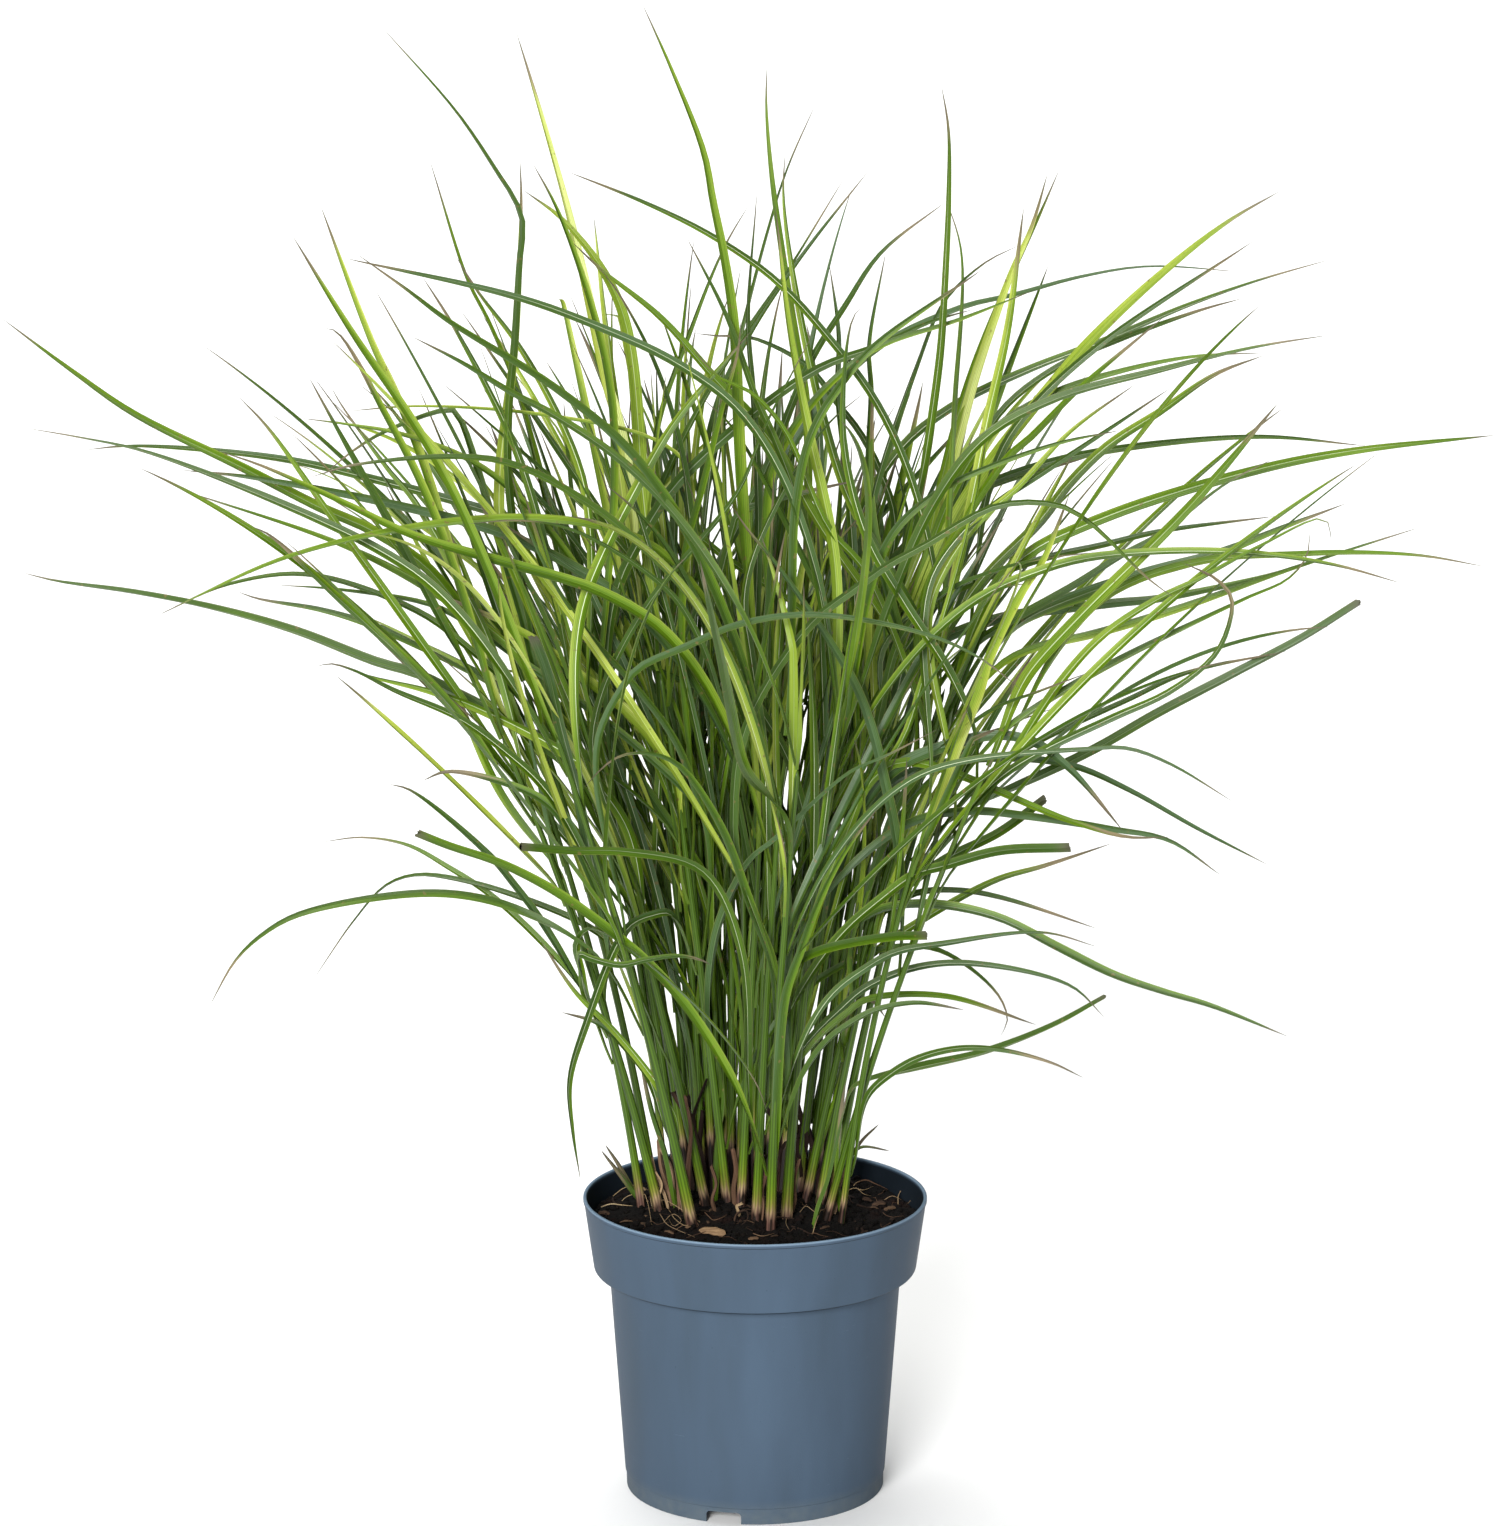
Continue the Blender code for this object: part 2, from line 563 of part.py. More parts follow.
def make_stem(name, stem, finish):
    """A stem's tapering round solid, from the foot of its socket to its tip."""
    heights = [-SOCKET_DEPTH, *np.linspace(0.0, stem.height, STEM_SPANS)]
    rings = [round_ring(stem.axis(up), stem.heading(up), stem.thickness(up), STEM_SIDES)
             for up in heights]
    return add_object(name, lofted(name, rings), finish)


def blade_midline(blade, stem, count):
    """Places along the middle of a blade, evenly spaced from its collar to its tip, and the
    direction in which its collar faces out of the stem."""
    on_stem = stem.axis(blade.collar)
    growing = stem.heading(blade.collar)
    aside = at_depth(blade.through_px[0], on_stem[1]) - on_stem
    if abs(blade.tip_depth) > FACING_DEPTH:
        aside = np.array([0.0, math.copysign(1.0, blade.tip_depth), 0.0])
    out = unit(aside - (aside @ growing) * growing)
    collar = on_stem + (stem.thickness(blade.collar) + 2 * GAP + BLADE_THICKNESS / 2) * out

    seen = [in_view(collar), *(np.array(point, float) for point in blade.through_px)]
    run = np.cumsum([np.linalg.norm(b - a) for a, b in zip(seen, seen[1:])])
    depths = collar[1] + (blade.tip_depth - collar[1]) * run / run[-1]
    places = [at_depth(point, depth) for point, depth in zip(blade.through_px, depths)]

    span = np.linalg.norm(places[0] - collar)
    leaving = math.cos(DEPARTURE) * growing + math.sin(DEPARTURE) * out
    arriving = unit(places[1] - places[0])
    bridge = []
    for t in BRIDGE_SHARES:
        bridge.append((2 * t ** 3 - 3 * t ** 2 + 1) * collar
                      + (t ** 3 - 2 * t ** 2 + t) * span * leaving
                      + (3 * t ** 2 - 2 * t ** 3) * places[0]
                      + (t ** 3 - t ** 2) * span * arriving)
    return smooth_curve([collar, *bridge, *places], count), out


def make_blade(blade, stem, finish):
    """A blade's thin folded solid, widest at a third of its length and pointed at its tip."""
    middle, out = blade_midline(blade, stem, BLADE_STATIONS)
    across = np.cross(middle[1] - middle[0], out)
    rings = []
    for k in range(BLADE_STATIONS - 1):
        share = k / (BLADE_STATIONS - 1)
        along = unit(middle[k + 1] - middle[max(k - 1, 0)])
        across = unit(across - (across @ along) * along)
        turn = math.radians(blade.turn) * smooth_step(share / BLADE_TURNING_SHARE)
        wide = math.cos(turn) * across + math.sin(turn) * np.cross(along, across)
        upper = np.cross(along, wide)
        widening = smooth_step(share / BLADE_WIDENING_SHARE)
        base = BLADE_BASE_SHARE + (1 - BLADE_BASE_SHARE) * widening
        half = blade.width / 2 * base * (1 - share ** BLADE_NARROWING)
        depth = BLADE_THICKNESS / 2 * (1 - share) ** BLADE_THINNING
        raised = BLADE_FOLD * half * upper
        rings.append([middle[k] + half * wide + raised, middle[k] + depth * upper,
                      middle[k] - half * wide + raised, middle[k] - depth * upper])
    return add_object(blade.name, folded_strip(blade.name, rings, middle[-1]), finish)


def main():
    """Builds the pot, the soil, the stems and the blades."""
    for old in list(bpy.data.objects):
        bpy.data.objects.remove(old, do_unlink=True)

    pot_finish = material("pot_blue_grey", (0.115, 0.169, 0.250), 0.45)
    soil_finish = material("soil_dark_peat", (0.020, 0.012, 0.008), 0.95)
    stem_finish = material("stem_green", (0.168, 0.255, 0.045), 0.45)
    blade_finishes = [
        material("blade_dark_green", (0.050, 0.147, 0.028), 0.45),
        material("blade_mid_green", (0.109, 0.254, 0.042), 0.42),
        material("blade_blue_green", (0.069, 0.162, 0.080), 0.50),
    ]

    stems = plant_stems()
    make_pot(pot_finish)
    make_soil(soil_finish, stems)
    for number, stem in enumerate(stems, start=1):
        make_stem(f"stem_{number:02d}", stem, stem_finish)
    for number, blade in enumerate(BLADES):
        make_blade(blade, stems[blade.stem - 1], blade_finishes[number % len(blade_finishes)])


main()
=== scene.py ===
"""The looks of a clump of fine-leaved maiden grass that grows in a moulded nursery pot.

Lengths are metres, +Z is up, the plant's front faces -Y, and the origin is the middle of the pot's
foot. Points written as x,y are pixels of the plant's front view, which is 1500 by 1526.
"""

import logging
import math
import random
from dataclasses import dataclass
from enum import Enum, IntEnum

import bmesh
import bpy
import numpy as np
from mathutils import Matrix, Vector, noise


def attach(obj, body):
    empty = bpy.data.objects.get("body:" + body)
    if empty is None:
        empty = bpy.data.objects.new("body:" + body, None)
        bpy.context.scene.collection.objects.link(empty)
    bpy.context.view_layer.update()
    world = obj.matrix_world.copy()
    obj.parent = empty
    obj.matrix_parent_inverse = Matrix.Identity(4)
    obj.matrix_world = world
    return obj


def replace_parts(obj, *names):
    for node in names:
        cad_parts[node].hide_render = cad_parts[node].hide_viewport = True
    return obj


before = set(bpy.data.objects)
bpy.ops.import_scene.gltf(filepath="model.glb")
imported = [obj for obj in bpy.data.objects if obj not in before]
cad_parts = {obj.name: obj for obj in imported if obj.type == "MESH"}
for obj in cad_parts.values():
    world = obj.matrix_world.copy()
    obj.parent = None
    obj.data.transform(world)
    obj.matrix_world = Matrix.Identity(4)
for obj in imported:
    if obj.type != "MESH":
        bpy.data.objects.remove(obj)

LOG = logging.getLogger("grass_clump")
MM = 0.001
GOLDEN_ANGLE = math.radians(137.508)
FLOOR_SIZE = 60.0
CURVE_STEPS = 16

# Sockets of a colour Mix node, which share their names with other kinds of mix
SHARE, FIRST, SECOND, MIXED = 0, 6, 7, 2


class Axis(IntEnum):
    """The measure that says where a place lies on its line of sight."""

    DEPTH = 1
    LEVEL = 2


class Tone(Enum):
    """How yellow a blade is, from the blue-green of an old blade to the gold of a lit young one."""

    BLUISH = 0.04
    DARK = 0.24
    MID = 0.46
    LIGHT = 0.70
    GOLD = 0.94


class End(Enum):
    """How a blade ends, with the shortest and the longest dry tip."""

    FINE = (0.012, 0.040)
    DRY = (0.030, 0.055)
    CUT = (0.0, 0.001)


# Shoots of the front rows: sideways lean, height and radius in mm, and the foot
FRONT_STEMS = """
-0.13 250 2.4 641,1203; -0.22 270 2.6 659,1209; -0.19 285 3.0 692,1223; -0.20 300 2.6 706,1205;
-0.10 300 2.7 727,1202; 0.05 290 2.6 741,1206; 0.04 250 2.6 756,1220; 0.024 270 2.9 770.5,1227;
0.053 290 2.9 786,1217; 0.09 310 2.6 799,1192; 0.19 290 2.5 806,1201; 0.15 280 2.5 821,1202;
0.24 260 2.2 827,1217; 0.10 220 1.9 842,1219;
"""

# Blades: stem, height of the collar and width in mm, look, depth of the tip in mm or - where it keeps
# near its stem, and the way to the tip. Those of the first table are modelled leaves, each with its name.
LEAVES = """
leaf_top_left 20 250 3.9 dark -60 509,402 514,348 519,262 522,222 514,200 500,178 458,115 380,25;
leaf_tall_gold 5 300 5.6 gold 100 617,418 608,388 584,281 568,214 546,134 516,31;
leaf_tallest 6 290 6.0 mid -70 738,418 733,321 723,254 712,201 703,153 672,72 641,1;
leaf_centre_spire 17 290 4.2 mid 150 805,600 808,500 806,402 795,335 782,254 771,174 766,107 767,63;
leaf_centre_fork 18 290 3.7 dark 180 742,335 766,241 787,171 816,103;
leaf_right_spire 10 310 4.2 mid -80 932,412 940,348 945,268 948,198 948,129 941,83;
leaf_right_pale 16 290 6.0 gold 70 960,430 976,373 1011,274 1032,226 1048,172;
leaf_upper_left_low 3 280 4.6 mid -80 407,412 354,335 292,235;
leaf_upper_left_mid 1 240 4.6 light 30 394,388 375,348 320,204;
leaf_upper_left_high 19 290 4.6 mid 120 487,321 466,279 429,158;
leaf_left_sweep 7 240 4.6 dark -140 554,386 447,319 407,289 354,252;
leaf_far_left_high 20 220 5.6 mid 0 375,532 321,508 241,467 134,414 72,371 0,317;
leaf_far_left_mid 3 260 5.1 dark/dry -40 375,548 295,510 147,453 80,438 25,428;
leaf_far_left_low 4 200 6.0 dark 20 568,771 515,731 421,677 375,663 295,632 214,609 134,593 54,581 20,572;
leaf_left_arch 6 260 4.6 mid -100 600,527 538,519 470,521 402,530 335,544 268,565 157,616;
leaf_left_steep 2 220 5.1 dark -40 420,674 348,607 268,534 250,526;
leaf_droop_left 3 110 3.9 dark -10 582,945 542,921 488,900 421,893 300,913 260,935 234,961 209,1007;
leaf_droop_left_short 4 80 3.8 dark 60 582,924 528,901 461,881 416,876 386,886 354,921 313,980;
leaf_low_left_arch 1 80 3.9 mid/dry 70 568,972 528,929 488,894 448,868 408,846 362,838 322,842;
leaf_mid_left_arch 3 190 4.6 dark -90 515,760 461,720 394,691 354,671 330,664 315,667;
leaf_front_droop 5 130 4.0 dark -150 655,915 628,928 584,1029 569,1082 572,1131 581,1184;
leaf_folded_gold 10 280 6.6 light 50 995,456 1048,389 1091,339 1166,269 1228,221 1282,190;
leaf_upper_right_long 17 270 5.1 dark 120 960,403 1027,371 1110,339 1188,306 1255,282 1332,259;
leaf_right_arch 18 250 4.6 bluish 180 960,309 1014,296 1080,278 1147,267 1244,272;
leaf_upper_right_mid 9 270 5.1 dark -80 1054,400 1161,371 1255,348 1330,335;
leaf_far_right_high 11 240 5.6 mid 30 1040,546 1069,532 1143,503 1275,465 1363,449 1497,435;
leaf_far_right_low 13 240 4.6 mid -40 1150,575 1216,559 1289,555 1348,553 1421,556 1487,567;
leaf_right_dark_wide 15 270 7.0 dark 50 1040,612 1143,574 1216,553 1289,524 1347,503;
leaf_hooked 13 210 4.2 mid -90 1157,600 1201,579 1260,547 1322,519 1330,527 1329,546;
leaf_right_low_long 15 190 4.8 dark/cut 20 1040,776 1099,747 1157,714 1231,676 1304,638 1360,603;
leaf_red_curl 14 180 3.7 dark/dry -80 1040,752 1113,717 1169,691 1213,656 1228,626 1231,597 1216,579
   1181,562;
leaf_low_right_short 8 160 3.6 bluish -120 972,760 1084,750 1127,749 1169,764 1235,803;
leaf_low_right_long 9 140 4.6 bluish 50 930,767 1000,759 1070,766 1127,790 1197,829 1270,866;
leaf_cut_right 12 45 4.2 dark/cut 60 860,1084 916,1068 986,1052 1056,1025 1105,998;
leaf_big_dark_low 11 90 5.2 dark -50 877,912 902,906 944,906 1000,919 1056,947 1113,975 1163,992 1211,1006
   1289,1037;
leaf_lowest_right 14 25 3.4 dark -80 884,1079 916,1059 958,1048 1000,1049 1051,1062 1084,1078;
leaf_front_reach 8 220 5.0 dark -360 742,760 722,660 700,560;
leaf_back_reach 17 240 6.0 mid 360 812,560 822,480 830,420;
"""

CROWN_BLADES = """
18 270 3.7 dark - 750,335 798,262 870,169;
19 250 3.7 dark - 750,327 787,273 845,177;
11 280 3.4 mid - 954,402 961,254 945,195;
12 280 3.7 dark - 828,337 774,279 712,236 648,204 566,171;
5 280 7.0 light - 650,560 643,494 621,308 568,225 522,189;
4 250 4.2 mid - 590,300 557,209 532,162;
16 250 4.0 mid - 1000,300 1038,218 1060,168;
12 260 5.1 light - 976,478 987,422 1008,328 1024,206;
9 270 5.4 light - 828,520 805,417 787,318 775,205;
6 250 4.6 dark - 757,470 752,391 747,318 757,190;
11 250 5.1 dark - 868,470 870,391 868,345 886,250;
7 280 4.0 dark - 850,372 880,341 983,269;
6 280 4.5 mid - 800,420 840,375 880,347 960,320 1035,290;
10 270 3.4 mid - 655,440 692,325 725,245 750,203;
9 280 4.3 dark - 775,440 755,395 727,317 686,236;
18 240 4.0 dark - 895,520 880,470 860,432 835,400 808,366 750,337 720,336 692,333;
5 280 4.3 dark - 770,460 810,362 845,305 880,253 948,200;
13 250 4.8 dark - 850,480 843,420 853,318 863,306;
12 280 4.5 mid - 835,460 802,322 784,200 785,152;
11 260 5.6 mid - 810,510 780,455 750,415 720,385 660,318 600,269 570,240;
6 240 5.4 dark - 690,520 682,460 658,375 622,300 600,268;
3 240 6.0 mid - 600,560 660,445 685,408 752,330;
4 220 5.6 dark - 640,540 680,480 812,372 880,345 930,322 975,309;
15 240 4.6 dark - 870,510 917,362 944,300 985,262 1020,245;
4 270 4.2 mid - 560,420 520,348 478,292 455,255;
10 240 4.6 dark - 846,470 837,391 838,335 829,262;
20 250 6.0 light - 500,470 514,348 521,205 520,158;
"""

LEFT_BLADES = """
2 270 4.2 mid - 388,418 337,332 324,328;
9 290 4.2 bluish - 675,362 595,325 514,296 344,258;
4 300 4.2 dark - 487,386 450,319 422,276;
8 270 4.2 dark - 554,415 514,394 461,362 411,336;
19 270 4.6 dark - 540,530 348,473 268,457 134,446 84,450;
1 230 5.1 mid - 500,637 420,582 335,540 179,489;
2 250 4.2 mid - 335,521 268,427 238,396;
5 260 3.7 mid - 402,435 348,425 299,418;
20 230 4.8 dark - 480,676 375,626 321,609 257,598 236,591;
7 200 6.2 mid - 600,592 560,578 410,534 345,503 260,465 215,450;
6 210 5.4 bluish - 560,560 500,533 400,506 250,477 180,470;
4 190 3.8 dark - 470,650 420,613 310,575 230,584 160,614;
6 170 3.7 dark - 520,660 470,625 430,605 340,590 275,585;
5 200 4.8 dark - 545,700 520,610 495,530 460,420 453,411 390,430 355,450 320,478;
8 220 4.5 dark - 640,545 590,505 500,461 360,464 308,478;
5 290 1.5 light - 650,437 540,414 420,406 348,411;
5 250 3.9 dark - 620,545 490,425 441,382;
2 240 4.6 mid - 470,600 415,500 390,470 342,405 330,385;
3 160 4.2 dark - 515,787 448,772 422,781;
5 170 5.6 light - 660,752 628,713 572,669 528,635 430,590;
4 150 5.6 mid - 610,800 580,764 480,709 428,690 370,676 340,665;
2 100 3.7 bluish - 515,886 488,854 410,790 388,784;
8 30 4.6 mid/cut -70 600,922 555,890 501,862 448,844 418,832;
1 160 4.6 mid/dry - 555,868 501,795 448,677 436,659;
3 45 3.6 mid - 672,1108 656,1082 612,1028 576,992 540,940;
3 50 3.7 bluish - 636,1060 600,1025 561,1012;
"""

RIGHT_BLADES = """
16 270 4.2 dark - 1060,366 1121,339 1201,310 1244,298;
15 290 4.2 dark - 1040,398 1107,339 1255,240;
10 270 4.2 mid - 1051,395 1121,372 1196,357 1265,353;
11 240 5.6 mid - 950,625 985,575 1040,520 1067,485 1107,446 1161,411 1214,375 1265,355;
13 260 6.0 mid - 1040,659 1084,612 1187,509 1279,402;
17 250 4.2 dark - 1040,465 1113,449 1260,436 1368,446;
12 240 4.8 mid - 940,560 1008,456 1029,438 1078,389 1165,316;
18 230 4.8 dark - 860,562 900,530 980,490 1095,455;
9 250 3.8 dark - 940,490 980,470 1060,442 1122,430;
13 220 3.8 light - 950,560 985,515 1015,490 1070,432 1137,383;
14 240 3.8 dark - 960,535 1000,500 1040,474 1172,387;
15 250 4.0 dark - 980,640 1075,585 1120,557 1160,535 1225,485 1275,458;
12 220 4.0 dark - 900,625 950,592 1050,556 1100,545 1160,531 1277,516;
16 220 5.8 dark - 890,672 940,640 1000,618 1110,603 1160,598 1260,577 1312,561;
14 180 5.4 light - 960,740 980,690 989,659 1024,589 1043,561 1070,493;
12 240 4.6 mid - 1040,647 1093,635 1172,612 1289,571 1421,527;
9 250 4.6 mid - 1040,571 1084,559 1157,552 1245,553 1333,565 1404,584;
14 220 4.2 mid - 1040,706 1113,664 1245,600 1289,579 1307,556 1310,529;
15 170 3.7 dark - 1040,741 1128,700 1187,673 1288,651;
7 130 4.2 bluish - 972,811 1028,816 1113,829 1169,840 1222,876;
8 110 4.6 mid/dry - 848,830 870,782 904,762 1070,821 1127,837 1171,837;
9 180 6.5 bluish - 930,752 995,736 1034,743 1070,770 1124,832;
7 90 4.6 dark/cut - 880,900 916,874 944,866 1000,851 1069,848;
11 130 4.6 dark/cut - 900,892 944,860 1000,832 1045,799;
16 80 4.2 mid/dry - 870,958 902,933 995,880 1042,866 1113,843;
17 70 4.2 dark/dry - 880,915 916,894 958,891 1000,898 1098,929;
8 70 3.7 bluish - 860,972 894,953 944,944 1042,933 1098,947;
6 30 4.2 bluish - 840,1010 866,988 916,968 972,964 1070,986 1105,1018;
5 30 3.7 dark - 850,962 880,950 936,950 995,992 1007,1020 1000,1037;
7 50 3.2 mid/dry - 846,1014 866,1000 944,996 1037,1025;
8 50 3.7 dark - 850,1024 874,1011 916,1003 965,1010;
13 60 3.4 bluish - 861,1098 868,1073 885,1030;
12 80 5.1 dark/dry - 846,1020 858,1001 872,999 886,1018;
"""

FRONT_BLADES = """
13 140 5.3 bluish -90 886,790 870,725 850,676 776,565 746,528 728,500;
3 160 3.3 bluish -140 621,690 639,668 687,646 739,624 813,614 924,633 979,657 1022,690;
8 140 4.5 dark -120 733,815 739,750 761,694 815,619 854,589 887,565 924,545 998,505 1060,505 1090,522
   1150,580 1178,600;
12 150 4.7 mid -80 926,735 865,572 828,528 783,428 750,392 717,376 690,345;
5 190 4.0 mid -60 683,600 687,546 702,491 724,402 738,352 741,318;
4 150 3.7 dark -70 600,700 621,650 654,596 739,491 765,428 815,330;
10 120 4.7 dark -70 800,800 787,757 720,646 672,556 640,515 604,483;
2 120 5.7 bluish/cut -90 610,950 602,900 590,850 578,790 562,730 548,670 535,636;
9 60 4.6 dark -120 776,1010 772,962 754,914 717,818 672,760 628,753 606,764 582,790;
7 40 3.9 dark/cut -130 748,1073 743,962 717,888 691,864 621,851 572,850 521,846;
5 60 4.7 bluish -110 709,1010 712,960 721,920 750,862 776,840 850,773 885,757 940,728;
1 95 3.6 dark -150 581,972 577,944 591,929 690,1001 754,1080 768,1114;
2 100 3.3 dark -140 582,976 580,954 591,958 621,965 646,960 680,956 706,962 712,967;
8 70 4.6 bluish -70 790,1060 787,980 791,932 783,844 772,800;
8 20 4.8 dark -100 776,1140 785,999 802,947 820,899 846,850 880,805;
9 50 3.0 dark -50 783,1110 815,962 835,866 858,820 883,784 905,735;
6 70 4.2 dark/cut -120 800,960 828,948 895,936 927,935;
6 200 3.3 dark -110 720,700 700,640 668,590 575,530 520,520 466,524;
11 180 4.3 dark -60 885,690 900,640 935,600 985,575 1040,560 1098,552;
7 170 4.3 dark -40 760,720 750,650 744,600 757,545 822,430 866,391;
10 160 4.3 dark -30 870,720 850,650 820,590 735,430 700,396;
5 140 4.0 dark -60 700,800 676,740 640,690 596,640 560,590 530,530 510,470;
12 120 4.0 dark -80 880,850 905,790 985,712 1040,690 1090,672;
11 100 4.0 dark -50 862,900 880,850 910,800 950,760 1000,728 1060,706;
9 120 3.2 mid -50 850,860 872,790 905,735 924,676 948,602 976,495 990,417;
"""
# Short blades at the foot of the clump: width in mm, look, and the way from the soil to the tip
SPROUTS = """
2.4 dark 640,1205 628,1182 618,1163 605,1144; 2.0 bluish 641,1206 631,1190 617,1170 601,1150;
1.6 dark 846,1190 850,1160 862,1140 879,1124; 1.4 mid 846,1192 849,1162 860,1148 890,1151;
3.0 mid 808,1206 812,1180 822,1140 838,1090 846,1050; 2.8 mid 842,1219 838,1180 840,1130 846,1080;
2.8 dark 812,1232 820,1205 829,1180 838,1140 848,1090; 3.2 dark 676,1212 668,1160 652,1110 640,1060;
3.0 dark 716,1206 715,1150 722,1100 716,1050;
"""

# Dead sheaths: width in mm, tone, and the way from the soil to a torn end
DEAD_SHEATHS = """
1.9 0.40 672,1211 669,1190 662,1168 659,1140; 1.6 0.50 676,1212 674,1190 671,1168 661,1148;
1.4 0.62 668,1211 663,1194 656,1178 651,1156; 1.0 0.66 640,1196 643,1189 648,1200 651,1226;
1.2 0.30 700,1208 702,1198 699,1188 700,1178; 1.9 0.26 735,1210 733,1190 736,1170 733,1150;
1.0 0.66 742,1221 738,1212 736,1206 741,1203; 1.8 0.30 790,1219 794,1200 793,1180 798,1160;
1.6 0.45 833,1220 838,1205 840,1188 846,1170; 1.6 0.28 762,1224 764,1206 762,1190 766,1172;
0.9 0.60 664,1216 658,1200 661,1184 655,1172; 0.8 0.72 655,1214 651,1196 654,1180 646,1166;
1.7 0.42 684,1216 682,1196 686,1178 680,1160; 1.5 0.20 716,1216 713,1200 717,1184 712,1166;
2.0 0.36 680,1214 679,1180 674,1150 668,1118; 1.8 0.22 689,1212 688,1170 690,1130 684,1096;
"""

# Roots, twigs and fibres on the soil: radius in mm, tone, lift of the middle in mm, and the way
STRANDS = """
0.34 0.78 2 601,1207 611,1204 622,1205 634,1206; 0.2 0.70 4 613,1196 624,1188 637,1185 650,1191;
0.2 0.66 3 618,1205 628,1196 640,1194 650,1203; 0.2 0.60 3 664,1222 672,1214 681,1222 675,1226 668,1218;
0.26 0.58 2 660,1214 668,1225 680,1231 697,1238; 0.2 0.70 3 668,1208 676,1220 686,1226 690,1218;
0.7 0.05 4 734,1224 737,1214 745,1210 747,1220 740,1226; 0.2 0.60 3 787,1217 786,1223 788,1228 790,1231;
0.4 0.30 5 856,1183 866,1180 876,1184 889,1190; 0.2 0.74 3 845,1192 854,1188 862,1190 874,1186;
0.2 0.70 2 858,1189 864,1194 872,1196; 0.2 0.72 4 850,1190 856,1183 864,1181;
0.3 0.62 4 898,1204 899,1194 904,1188 911,1191 912,1199 906,1205; 0.2 0.60 2 884,1200 892,1196 902,1200;
0.3 0.40 2 752,1233 762,1236 776,1233; 0.2 0.40 2 590,1196 598,1190 608,1190;
0.22 0.68 9 641,1204 644,1194 648,1204 652,1226; 0.2 0.62 8 700,1222 676,1206 664,1200 650,1206;
0.2 0.66 6 812,1236 816,1222 822,1210 826,1216; 0.18 0.60 6 800,1212 806,1206 815,1212 826,1208;
"""

# Chips: width in mm, tone and both ends
CHIPS = """
4.8 0.50 699,1230 726,1234; 3.2 0.22 872,1206 886,1203; 2.6 0.30 884,1210 896,1207;
2.2 0.16 862,1199 872,1201; 2.4 0.25 598,1213 610,1214; 2.0 0.35 748,1239 759,1238;
1.8 0.2 820,1229 830,1226; 1.6 0.3 664,1231 674,1234;
"""

# The crown, the patch of soil that the clump covers
CROWN_CENTRE = np.array([-0.006, 0.012])
CROWN_HALF = np.array([0.057, 0.047])
CROWN_Z = 0.158


def unit(vector: np.ndarray) -> np.ndarray:
    """The vector scaled to length one."""
    return vector / np.linalg.norm(vector)


def toward(turn: float) -> np.ndarray:
    """The level direction at a turn from +X."""
    return np.array([math.cos(turn), math.sin(turn)])


def turns_round(sides: int) -> np.ndarray:
    """The turns of a ring's corners."""
    return np.linspace(0.0, 2 * math.pi, sides, endpoint=False)


def smooth_step(share: float | np.ndarray) -> float | np.ndarray:
    """A share, or an array of shares, from 0 to 1 eased at both ends."""
    share = np.clip(share, 0.0, 1.0)
    return share * share * (3.0 - 2.0 * share)


def run_along(places: np.ndarray) -> np.ndarray:
    """How far each place of a line is from its start, measured along it."""
    return np.concatenate([[0.0], np.cumsum(np.linalg.norm(np.diff(places, axis=0), axis=1))])


def quads(index: np.ndarray) -> list:
    """The faces between rings of corners, from the corners' numbers ring by ring."""
    after = np.roll(index, -1, axis=1)
    return np.stack([index[:-1], after[:-1], after[1:], index[1:]], axis=-1).reshape(-1, 4).tolist()


def fan(ring: np.ndarray, tip: int) -> list:
    """The faces that close a ring of corners on the corner at its tip."""
    return [[a, b, tip] for a, b in zip(ring.tolist(), np.roll(ring, -1).tolist())]


def smooth_curve(points: list, count: int) -> np.ndarray:
    """Places spaced evenly along a smooth curve through points.

    Its knots are spaced by the root of the distance, so it makes no loop between close points.

    Args:
        points: The places that the curve passes.
        count: How many places to give.

    Returns:
        An array of count rows.
    """
    points = [np.asarray(p, float) for p in points]
    ends = [2 * points[0] - points[1], *points, 2 * points[-1] - points[-2]]
    dense = []
    for a, b, c, d in zip(ends, ends[1:], ends[2:], ends[3:]):
        knots = np.cumsum([0.0] + [math.sqrt(np.linalg.norm(q - p)) for p, q in ((a, b), (b, c), (c, d))])
        t = np.linspace(knots[1], knots[2], CURVE_STEPS, endpoint=False)[:, None]
        row = [a, b, c, d]
        for step in (1, 2, 3):
            row = [((hi - t) * p + (t - lo) * q) / (hi - lo)
                   for p, q, lo, hi in zip(row, row[1:], knots if step < 3 else knots[1:],
                                           (knots[step:] if step < 3 else knots[2:]))]
        dense.append(row[0])
    dense = np.concatenate([*dense, points[-1][None, :]])
    run = run_along(dense)
    wanted = np.linspace(0.0, run[-1], count)
    return np.column_stack([np.interp(wanted, run, dense[:, axis]) for axis in range(3)])


def read_rows(table: str) -> list:
    """Reads a table whose rows end in semicolons.

    Args:
        table: In each row some words, and points of the front view as x,y.

    Returns:
        The words and the points of each row.
    """
    rows = []
    for row in table.strip().rstrip(";").split(";"):
        cells = row.split()
        points = [tuple(map(float, cell.split(","))) for cell in cells if "," in cell]
        rows.append(([cell for cell in cells if "," not in cell], points))
    return rows


def read_look(look: str) -> tuple:
    """The tone and the end that a word such as mid/cut stands for."""
    tone, _, end = look.partition("/")
    return Tone[tone.upper()], End[end.upper() or "FINE"]


